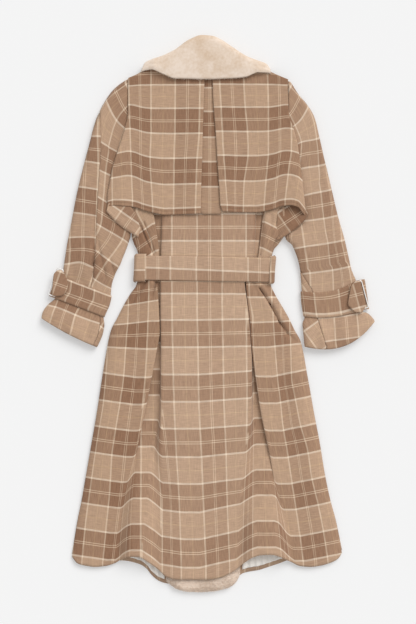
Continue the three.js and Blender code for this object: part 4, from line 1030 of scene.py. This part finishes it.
SLEEVE_RIDGES_LEFT = table(
    "x0 y0 x1 y1 width height",
    (-274, 110, -271, 235, 3, -8), (-278, 46, -274, 118, 3, -8.5), (-257, 134, -266, 184, 3.4, -5),
    (-245, 84, -257, 136, 3.4, -5), (-223, 84, -233, 126, 2.6, -7), (-324, 76, -322, 124, 6, -3),
    (-295, 62, -296, 125, 8, 2.6), (-266, 52, -254, 76, 3.4, -3.5), (-240, 236, -180, 190, 9, -2),
    (-286, 180, -282, 300, 12, 1.6), (-330, -40, -312, 10, 9, 4), (-290, -60, -280, 0, 8, -3),
    (-370, -10, -350, 20, 8, 3))
SLEEVE_RIDGES_RIGHT = table(
    "x0 y0 x1 y1 width height",
    (250, 44, 226, 92, 3, -7), (226, 92, 222, 160, 6, -3), (206, 228, 200, 250, 26, -11),
    (318, 90, 280, 260, 26, 2.5), (275, -70, 272, 0, 9, 4), (330, -70, 318, 0, 9, 3),
    (300, -75, 296, -10, 8, -3))
BACK_SEAM_LEFT = table(
    "y x",
    (576, -300), (500, -280), (474, -258), (401, -256), (305, -262), (233, -266), (161, -269), (89, -275),
    (55, -280), (20, -270), (-20, -258), (-50, -262), (-84, -276))
BACK_SEAM_RIGHT = table(
    "y x",
    (576, 150), (110, 205), (96, 222), (89, 226), (48, 250), (-14, 262), (-84, 283))
SEAM_HALF = 0.3       # half the gap between a sleeve's pieces
# How closely the sleeve's inner side follows the body's, by the numbers of the sleeve's rows.
HUG = table("at share", (0, 1), (1, 0.9), (2, 0.7), (3, 0.5), (4, 0.3), (5, 0.15), (6, 0))
ARMHOLE_GAP = 0.2     # gap to the body above the waist
CREASE_ROOM = 3       # how far above the strapped level the creases are at full depth
CUT_SHARE = (0.15, 0.85)    # keeps a piece's edge away from the ring's points
SLEEVE_ROWS = 110
SLEEVE_STEPS = 60


def lengths_along(line):
    return np.concatenate(([0], np.cumsum(np.linalg.norm(np.diff(line, axis=0), axis=1))))


def resample(line, marks):
    """Points at the given lengths along a polyline."""
    lengths = lengths_along(line)
    return np.stack([np.interp(marks, lengths, line[:, k]) for k in range(line.shape[1])], axis=1)


def cut_ring(ring, plain_level, seam_x, side):
    """Cut a ring at the back seam on its top and in the middle of its underside.

    Each piece gets its points and their x on the cloth as it is unrolled, without its creases.
    """
    under_start = len(UNDER_RUN) // 2
    top_start = len(UNDER_RUN) + len(RING_TURN) // 2
    top_end = top_start + len(TOP_RUN) + len(RING_TURN)
    loop = np.concatenate((ring[under_start:], ring[:under_start + 1]))
    level = np.concatenate((plain_level[under_start:], plain_level[:under_start + 1]))
    top = ring[top_start - 1:top_end + 1]
    crossing = (top[:, 0] - seam_x(top[:, 1])) * -side
    below = np.nonzero(crossing < 0)[0]
    k = np.clip(below[0] if len(below) else len(crossing) - 2, 1, len(crossing) - 2)
    share = np.clip(crossing[k - 1] / max(crossing[k - 1] - crossing[k], 1e-6), *CUT_SHARE)
    cut = top_start - 1 + k - 1 - under_start
    strides = lengths_along(np.stack((loop[:, 0], level), axis=1))
    lengths = lengths_along(loop)
    seam_at = mix(lengths[cut], lengths[cut + 1], share)
    seam_stride = np.interp(seam_at, lengths, strides)
    seam_place = np.interp(seam_at, lengths, loop[:, 0])
    pieces = {}
    for key, start, end in (
            ("upper", seam_at + SEAM_HALF, lengths[-1]),
            ("under", 0, seam_at - SEAM_HALF)):
        marks = np.linspace(start, end, SLEEVE_STEPS)
        x = seam_place + side * (np.interp(marks, lengths, strides) - seam_stride)
        pieces[key] = (resample(loop, marks), x)
    return pieces


def sleeve(name, node, rows, ridges, back_seam, check, side, tone):
    """A flattened, creased tube beside the body, in an upper and an under piece."""
    at = np.linspace(0, 16, SLEEVE_ROWS)[:, None]
    row = columns_at(rows, at)
    points = ring_of(row)
    body = left_side if side < 0 else right_side
    first = {key: values[0] for key, values in rows.items()}

    def armhole(y):
        return body(y) + side * mix(ARMHOLE_GAP, WOOL / 2 + LOOSE, rolled(y))

    def chord(y):
        share = np.clip((first["oy"] - y) / (first["oy"] - first["iy"]), 0, 1)
        return mix(first["ox"], first["ix"], share)

    middle = (row["low"] + row["high"]) / 2
    top = np.clip((points[..., 2] - middle) / (row["high"] - middle), 0, 1)
    loose = np.clip((row["high"] - STRAPPED) / CREASE_ROOM, 0, 1)
    plain_level = points[..., 2].copy()
    points[..., 2] += relief(ridges, points[..., 0], points[..., 1]) * loose * top
    points[..., 2] = np.maximum(points[..., 2], row["low"] + (WOOL + SEAM) * top)
    reach = np.hypot(row["ox"] - row["ix"], row["oy"] - row["iy"])
    from_inner = np.hypot(points[..., 0] - row["ix"], points[..., 1] - row["iy"])
    to_outer = np.clip(from_inner / reach, 0, 1)
    fade = np.where(at == 0, 1, 1 - to_outer)
    hug = through(HUG, "share")(at)
    points[..., 0] += (armhole(points[..., 1]) - chord(points[..., 1])) * hug * fade
    keep = np.minimum if side < 0 else np.maximum
    points[..., 0] = keep(points[..., 0], armhole(points[..., 1]))

    seam_x = through(back_seam, "x")
    rings = [cut_ring(ring, level, seam_x, side) for ring, level in zip(points, plain_level)]
    made = []
    for key in ("upper", "under"):
        cloth = np.array([pieces[key][0] for pieces in rings])
        x = np.array([pieces[key][1] for pieces in rings])
        if side > 0:
            cloth = cloth[:, ::-1]
            x = x[:, ::-1]
        uv = check[key](x, cloth[..., 1])
        made.append(wool_piece(f"{name}_{key}", f"{node}_{key}", cloth, uv, tone=tone))
    return made


TURNED_REPEAT = 61


def turned_check(x0, y0, angle, first_warp=0.0, first_weft=0.0):
    """A check turned by an angle, with one crossing of its lines at x0, y0."""
    cos = math.cos(math.radians(angle))
    sin = math.sin(math.radians(angle))

    def place(x, y):
        across = ((x - x0) * cos + (y0 - y) * sin) / WARP_REPEAT + first_warp
        along = ((y0 - y) * cos - (x - x0) * sin) / TURNED_REPEAT + first_weft
        return on_check(across, along)

    return place


# Places on each sleeve, as the coat lies, and where they are on the check.
INNER_LEFT = table(
    "x y u v",
    (-191, 543, -1, -2), (-240, 505, -1, -1), (-215, 458, 0, -1), (-173, 506, 0, -2), (-255, 406, -0.5, 0),
    (-235, 394, 0, 0), (-215, 384, 0.4, 0), (-254, 336, -0.17, 1), (-228, 324, 0.3, 1),
    (-254, 270, -0.08, 2), (-238, 260, 0.25, 2), (-257, 205, 0, 3), (-204, 174, 1, 3), (-229, 137, 1, 3.74),
    (-257, 139, 0.6, 4), (-259, 70, 1.2, 5), (-286, -16, 1.45, 7), (-253, -37, 2.05, 7),
    (-281, -73, 2, 7.8))
OUTER_LEFT = table(
    "x y u v",
    (-264, 420, 1, 0), (-278, 420, 0.75, 0), (-259, 355, 1.05, 1), (-293, 360, 0.5, 1), (-264, 293, 1, 2),
    (-312, 300, 0.25, 2), (-269, 230, 0.95, 3), (-326, 238, 0.05, 3), (-271, 178, 0.95, 4),
    (-330, 178, 0, 4), (-277, 107, 0.9, 5), (-307, 119, 0.38, 5), (-342, 114, -0.15, 5), (-365, 12, 0, 7),
    (-317, -7, 1, 7), (-286, -19, 1.45, 7), (-379, -29, 0, 7.7), (-330, -58, 1, 7.85))
OUTER_RIGHT = table(
    "x y u v",
    (197, 538, 0, -2), (240, 490, 0, -1), (208, 446, -1, -1), (178, 497, -1, -2), (259, 413, 0, 0),
    (223, 406, -1, 0), (265, 349, 0, 1), (218, 341, -1, 1), (275, 287, 0, 2), (222, 277, -1, 2),
    (282, 223, 0, 3), (228, 216, -1, 3), (292, 164, 0, 4), (236, 156, -1, 4), (324, 170, 1, 4),
    (298, 100, 0, 5), (244, 93, -1, 5), (336, 108, 1, 5), (245, -17, -1, 7), (302, -13, 0, 7),
    (356, -5, 1, 7), (305, -67, 0, 8), (257, -74, -0.85, 8))
SLACK = 0.02          # how far the check may miss those places, to lie smoothly


def through_places(rows):
    """The check's place at any point, as a thin plate bent through the known ones."""
    known_x = rows["x"] / WARP_REPEAT
    known_y = rows["y"] / WARP_REPEAT

    def bend(x, y):
        square = (x[..., None] - known_x) ** 2 + (y[..., None] - known_y) ** 2
        return square * np.log(np.maximum(square, 1e-12))

    count = len(known_x)
    flat = np.stack((np.ones(count), known_x, known_y), axis=1)
    plate = bend(known_x, known_y) + SLACK * np.eye(count)
    system = np.block([[plate, flat], [flat.T, np.zeros((3, 3))]])
    known = np.concatenate((np.stack((rows["u"], rows["v"]), axis=1), np.zeros((3, 2))))
    weights = np.linalg.solve(system, known)

    def place(x, y):
        x = x / WARP_REPEAT
        y = y / WARP_REPEAT
        return bend(x, y) @ weights[:count] + np.stack((1 + 0 * x, x, y), axis=-1) @ weights[count:]

    return place


# Painted shade on the sleeves: 0.7 on the left one, 0.3 on the right one.
sleeve_left_upper, sleeve_left_under = sleeve(
    "cloth_sleeve_left", "sleeve_left", SLEEVE_LEFT, SLEEVE_RIDGES_LEFT, BACK_SEAM_LEFT,
    {"upper": through_places(OUTER_LEFT), "under": through_places(INNER_LEFT)}, -1, 0.7)
sleeve_right_upper, sleeve_right_under = sleeve(
    "cloth_sleeve_right", "sleeve_right", SLEEVE_RIGHT, SLEEVE_RIDGES_RIGHT, BACK_SEAM_RIGHT,
    {"upper": through_places(OUTER_RIGHT), "under": turned_check(200, 306, -35)}, 1, 0.3)

# ---- cloth that turns under the flap's corners ----------------------------------------------
UNDERARM_FOLD = table(
    "s rim_x rim_y deep_x deep_y lift",
    (0, -242, 240, -238, 262, 0), (0.25, -222, 218, -215, 262, 0), (0.5, -204, 202, -193, 258, 0),
    (0.75, -185, 190, -174, 236, 0), (1, -166, 179, -161, 200, -2))
FLAP_TURN = table(
    "s rim_x rim_y deep_x deep_y lift",
    (0, 163, 171, 163, 178, -1), (0.25, 186, 183, 165, 215, 0.5), (0.5, 205, 196.5, 167, 243, 0.5),
    (0.75, 221, 210, 190, 254, 1), (0.9, 231, 221, 212, 256, 3), (1, 237, 236, 230, 252, 6))
TURN_PROFILE = table(
    "t left right",
    (0, 17.8, 19), (0.05, 20, 22), (0.13, 21, 22.6), (0.4, 20.2, 15.5), (0.7, 19.6, 12.5), (1, 19.2, 12))


def turned_cloth(name, node, rows, side, check, tone):
    """Cloth that turns over at a rounded rim and goes back under the flap."""
    s = np.linspace(0, 1, 60)[:, None]
    t = np.linspace(0, 1, 44)[None, :] ** 1.6
    x = mix(through(rows, "rim_x")(s), through(rows, "deep_x")(s), t)
    y = mix(through(rows, "rim_y")(s), through(rows, "deep_y")(s), t)
    z = through(TURN_PROFILE, side)(t) + through(rows, "lift")(s) * (1 - t)
    return wool_piece(name, node, grid(x, y, z), check(x, y), tone=tone)


# The left fold gets painted shade 0.5, and the cloth turned under the right flap's corner gets full painted
# shade for the dark hollow under it.
underarm_fold = turned_cloth(
    "cloth_underarm_fold", "sleeve_left_under", UNDERARM_FOLD, "left",
    turned_check(-211, 235, 35, 0, 1.1), 0.5)
flap_turn = turned_cloth(
    "cloth_flap_turn", "storm_flap_right", FLAP_TURN, "right", turned_check(186, 206, -33, 0, 0.6), 1)

# ---- sleeve straps, tips and buckles --------------------------------------------------------
STRAP_GROW = WOOL / 2 + LOOSE + STRAP / 2   # from the sleeve's middle surface to the strap's
STRAP_REACH = {"left": 16, "right": 21}   # how far each strap stands out past the sleeve's outer edge
STRAP_AT = np.linspace(11.04, 12.96, 14)[:, None]   # where it lies, by the numbers of the sleeve's rows
STRAP_WEFTS = 0.85    # half repeats of the check over the strap's width


def strap(name, node, rows, reach, side, first_warp, first_weft):
    """A closed band round the sleeve."""
    ring = ring_of(columns_at(rows, STRAP_AT), STRAP_GROW, reach)
    if side > 0:
        ring = ring[:, ::-1]
    closed = np.concatenate((ring, ring[:, :1]), axis=1)
    strides = np.cumsum(np.linalg.norm(np.diff(closed, axis=1), axis=2), axis=1)
    x = np.concatenate((0 * strides[:, :1], strides), axis=1)
    v = np.linspace(0, 1, ring.shape[0])[:, None]
    check = on_check(x / WARP_REPEAT + first_warp, first_weft + STRAP_WEFTS * v)
    # The band gets painted shade 0.7.
    return wool_piece(name, node, ring, check, STRAP, ring=True, tone=0.7)


strap_left = strap(
    "cloth_strap_left", "sleeve_strap_left", SLEEVE_LEFT, STRAP_REACH["left"], -1, 1.10, -0.05)
strap_right = strap(
    "cloth_strap_right", "sleeve_strap_right", SLEEVE_RIGHT, STRAP_REACH["right"], 1, -0.39, 0.28)

BAND_TOP = STRAPPED + STRAP_GROW + STRAP / 2    # level of the straps' upper side
BUCKLE_GAP = 0.4      # gap below the buckle and above it
FRAME = {"length": 66, "width": 17, "corner": 3.5, "wire": 1.3, "sides": 14}


def buckle(name, node, x, y, turn):
    """A rectangle of round wire with round corners."""
    length, width, corner, wire, sides = FRAME.values()
    rows = []
    around = np.linspace(0, 2 * math.pi, sides, endpoint=False)
    for sx, sy, start in ((1, 1, 0), (-1, 1, 90), (-1, -1, 180), (1, -1, 270)):
        for a in np.radians(start + np.linspace(0, 90, 7)):
            out = corner + wire * np.cos(around)
            u = sx * (width / 2 - corner) + out * math.cos(a)
            v = sy * (length / 2 - corner) + out * math.sin(a)
            rows.append(np.stack((u, v, wire * np.sin(around)), axis=-1))
    u, v, w = np.moveaxis(np.array(rows), -1, 0)
    cos = math.cos(turn)
    sin = math.sin(turn)
    level = w + BAND_TOP + BUCKLE_GAP + wire
    points = np.stack((x + u * cos - v * sin, y + u * sin + v * cos, level), axis=-1)
    index = np.arange(len(rows) * sides).reshape(len(rows), sides)
    index = np.concatenate((index, index[:1]), axis=0)
    index = np.concatenate((index, index[:, :1]), axis=1)
    obj = make_object(name, points.reshape(-1, 3), quads(index).tolist(), BUCKLE_METAL)
    return place_piece(obj, node)


buckle("metal_buckle_left", "buckle_left", -363, 71, math.atan2(-19, 60))
buckle("metal_buckle_right", "buckle_right", 366.5, 41, math.atan2(16.8, 62.4))

TIP_LEFT = table(
    "y from to",
    (100, -359, -350), (90, -368, -342), (65, -371, -334), (50, -372, -336), (38, -371, -350))
TIP_RIGHT = table(
    "y from to",
    (74, 352, 364), (60, 341, 367), (40, 337, 371), (19, 334, 376), (7, 343, 373), (-1, 353, 367))
TIP_OVER = BAND_TOP + 2 * BUCKLE_GAP + 2 * FRAME["wire"] + STRAP / 2
TIP_CROWN = 0.8       # how much higher the strap's end is in its middle


def tip(name, node, rows, check):
    """The strap's pointed end, which lies over the buckle."""
    y = np.linspace(rows["y"][-1], rows["y"][0], 24)[:, None]
    u = np.linspace(0, 1, 14)[None, :]
    x = mix(through(rows, "from")(y), through(rows, "to")(y), u)
    crown = TIP_CROWN * (1 - (2 * u - 1) ** 2)
    points = grid(x, y, TIP_OVER + crown - TIP_CROWN / 2)
    return wool_piece(name, node, points, check(x, y), STRAP)


tip_left = tip("cloth_strap_end_left", "strap_end_left", TIP_LEFT, turned_check(-352, 96, 20))
tip_right = tip("cloth_strap_end_right", "strap_end_right", TIP_RIGHT, turned_check(345, 70, -15))

# ---- the belt and its loops -----------------------------------------------------------------
BELT_LEVEL = {"middle": 19.6, "side": 18.6}
BELT_REACH = 5.5      # how far the belt stands out at the sides, where it turns round
BELT_TILT = 0.017     # how much the belt's upper side falls towards the right
BELT_CHECK_TILT = 0.025   # how much its check does
BELT_LINE = 100       # the y of a cream line along it
BELT_SHOULDER = (60, 140)   # between these x its upper side goes down to the level of its sides
BELT_WARPS = table("v x", (0, -149), (1, -90), (2, -28), (3, 35), (4, 96), (5, 149))


def tilt(points):
    """Let the upper side of the belt and its loops fall towards the right."""
    share = np.clip((points[..., 2] - STRAP / 2) / (BELT_LEVEL["side"] - STRAP / 2), 0, 1)
    points[..., 1] -= BELT_TILT * points[..., 0] * share


def belt():
    """A closed band round the two ends of the back's waist, higher in the middle of its upper side."""
    y = np.linspace(BELT_TOP, BELT_BOTTOM, 26)[:, None]
    row = {
        "ox": left_side(y), "oy": y, "ix": right_side(y), "iy": y, "bow": 0 * y, "low": 0 * y + STRAP / 2,
        "high": 0 * y + BELT_LEVEL["side"], "round": 0 * y + BELT_REACH}
    ring = ring_of(row, 0.0, BELT_REACH)
    turn = slice(len(UNDER_RUN), len(UNDER_RUN) + len(RING_TURN))
    ring[:, turn, 0] += BELT_REACH
    top = slice(len(UNDER_RUN) + len(RING_TURN), 2 * len(UNDER_RUN) + len(RING_TURN))
    share = 1 - ramp(np.abs(ring[:, top, 0]), *BELT_SHOULDER)
    ring[:, top, 2] = mix(BELT_LEVEL["side"], BELT_LEVEL["middle"], share)
    tilt(ring)
    x = ring[..., 0]
    x = np.concatenate((x, x[:, :1]), axis=1)
    across = between_lines(x, list(BELT_WARPS["x"]), list(BELT_WARPS["v"]))
    along = (BELT_LINE - x * BELT_CHECK_TILT - y) / WEFT_REPEAT
    return wool_piece("cloth_belt", "belt", ring, on_check(across, along), STRAP, ring=True, tone=0)


cloth_belt = belt()
# How far the loops stand off the belt's middle surface, down their width.
LOOP_ROWS = table("y grow", (136, 0.4), (133, 2.9), (103, 2.9), (73, 2.9), (70, 0.4))
LOOP_TURN = np.radians(np.linspace(-50, 90, 16))


def belt_loop(name, node, edge, inward, width, check):
    """A loop that comes from below round one end of the belt and lies on its upper side."""
    rows = []
    for y in np.linspace(LOOP_ROWS["y"][-1], LOOP_ROWS["y"][0], 30):
        grow = float(np.interp(y, LOOP_ROWS["y"], LOOP_ROWS["grow"]))
        radius = BELT_REACH + grow
        end = edge(np.clip(y, BELT_BOTTOM, BELT_TOP)) - inward * radius
        half = (BELT_LEVEL["side"] - STRAP / 2) / 2 + grow
        middle = (BELT_LEVEL["side"] + STRAP / 2) / 2
        turn = grid(end + inward * radius * (1 - np.cos(LOOP_TURN)), y, middle + half * np.sin(LOOP_TURN))
        flat = grid(end + inward * mix(radius, width, np.linspace(0.2, 1, 5)), y, middle + half)
        row = np.concatenate((turn, flat))
        rows.append(row if inward > 0 else row[::-1])
    points = np.array(rows)
    tilt(points)
    return wool_piece(name, node, points, check(points[..., 0], points[..., 1]), STRAP)


loop_left = belt_loop(
    "cloth_belt_loop_left", "belt_loop_left", left_side, 1, 27, turned_check(-149, 100, 0))
loop_right = belt_loop(
    "cloth_belt_loop_right", "belt_loop_right", right_side, -1, 12, turned_check(149, 96, 0))

# ---- the fur collar -------------------------------------------------------------------------
COLLAR = table(
    "x top fall",
    (-159, 581, 572), (-150, 598, 575), (-135, 605, 577), (-108, 614, 566), (-79, 628, 555),
    (-43, 653, 554), (-15, 663, 553), (10, 661, 553), (29, 653, 554), (55, 636, 555), (91, 613, 559),
    (119, 602, 570), (139, 595, 570), (150, 581, 568))
COLLAR_ENDS = (-158, 149)
COLLAR_RIM = 3.4      # thickness at its two ends
COLLAR_LEVEL = {"end": 20.5, "middle": 27}   # of the fall's middle surface
COLLAR_RADIUS = 16    # of the roll at its upper edge
COLLAR_CROWN = 1.5    # how much higher the fall is in its middle
COLLAR_FLUFF = 3      # how much of the fur's thickness is pile
NECK_Y = 586          # where the part under the fall would end
COLLAR_UNDER = {"above": 8, "reach": 0.9}   # how far it stays above the fall's edge, and its share
COLLAR_HAIR = {"length": 4.5, "sunk": 0.4, "count": 66000, "lean": (0, -0.45, 0), "seed": 3}


def collar():
    """The fur collar: a part underneath, the roll at its upper edge and the fall on the storm flap."""
    x = np.linspace(*COLLAR_ENDS, 150)[None, :]
    u = np.linspace(0, 1, 150)[None, :]
    top = through(COLLAR, "top")(x)
    fall = through(COLLAR, "fall")(x)
    ends = np.minimum(1, 10 * np.minimum(u, 1 - u))
    thick = mix(COLLAR_RIM, COLLAR_PILE, ends)
    depth = top - fall - thick / 2
    lower = thick / 2
    upper = mix(COLLAR_LEVEL["end"], COLLAR_LEVEL["middle"], ends)
    radius = np.minimum(COLLAR_RADIUS, depth * 0.5)
    edge = top - thick / 2
    level = (lower + upper) / 2
    above, reach = COLLAR_UNDER.values()
    under_y = mix(edge - radius, np.maximum(NECK_Y, fall + above), reach)
    rows = [(mix(under_y, edge - radius, t), lower) for t in np.linspace(0, 0.9, 8)]
    for a in np.linspace(-math.pi / 2, math.pi / 2, 22):
        rows.append((edge - radius + radius * math.cos(a), level + (upper - lower) / 2 * math.sin(a)))
    for t in np.linspace(0.06, 1, 26):
        rows.append((mix(edge - radius, fall + 1, t), upper + COLLAR_CROWN * math.sin(math.pi * t)))
    points = np.concatenate([grid(x, y, z) for y, z in rows])[::-1]
    points = points.reshape(len(rows), -1, 3)
    skin = np.broadcast_to(thick - COLLAR_FLUFF, points.shape[:2])
    return fur_piece("fur_collar", "collar", points, skin, COLLAR_HAIR, COLLAR_FUR)


fur_collar, fur_collar_pile = collar()

# ---- floor, light and camera ----------------------------------------------------------------
FLOOR_SIZE = 8.0
FLOOR_DROP = 0.0006
CAMERA_HEIGHT = 3.2
PHOTO_LENGTH = 1.4976       # metres that the long side of the picture covers
SENSOR = 36
WORLD_STRENGTH = 0.63
SUN = {"energy": 2.0, "angle": 36, "turn": (-38, 34, 0)}     # angles in degrees


def add_stage():
    half = FLOOR_SIZE / 2
    corners = [(-half, -half), (half, -half), (half, half), (-half, half)]
    mesh = bpy.data.meshes.new("floor")
    mesh.from_pydata([(x, y, -FLOOR_DROP) for x, y in corners], [], [(0, 1, 2, 3)])
    mesh.materials.append(pale_floor())
    floor = bpy.data.objects.new("floor", mesh)
    bpy.context.scene.collection.objects.link(floor)
    world = bpy.data.worlds.new("studio")
    world.use_nodes = True
    background = world.node_tree.nodes["Background"]
    background.inputs["Color"].default_value = (1, 1, 1, 1)
    background.inputs["Strength"].default_value = WORLD_STRENGTH
    bpy.context.scene.world = world
    light = bpy.data.lights.new("window", "SUN")
    light.energy = SUN["energy"]
    light.angle = math.radians(SUN["angle"])
    sun = bpy.data.objects.new("window", light)
    sun.rotation_euler = [math.radians(angle) for angle in SUN["turn"]]
    bpy.context.scene.collection.objects.link(sun)


def add_camera():
    camera = bpy.data.cameras.new("camera")
    camera.sensor_width = SENSOR
    camera.lens = SENSOR * CAMERA_HEIGHT / PHOTO_LENGTH
    holder = bpy.data.objects.new("camera", camera)
    holder.location = (SHIFT[0] * MM, SHIFT[1] * MM, CAMERA_HEIGHT)
    bpy.context.scene.collection.objects.link(holder)
    bpy.context.scene.camera = holder


add_stage()
add_camera()
bpy.context.scene.view_settings.view_transform = "Standard"
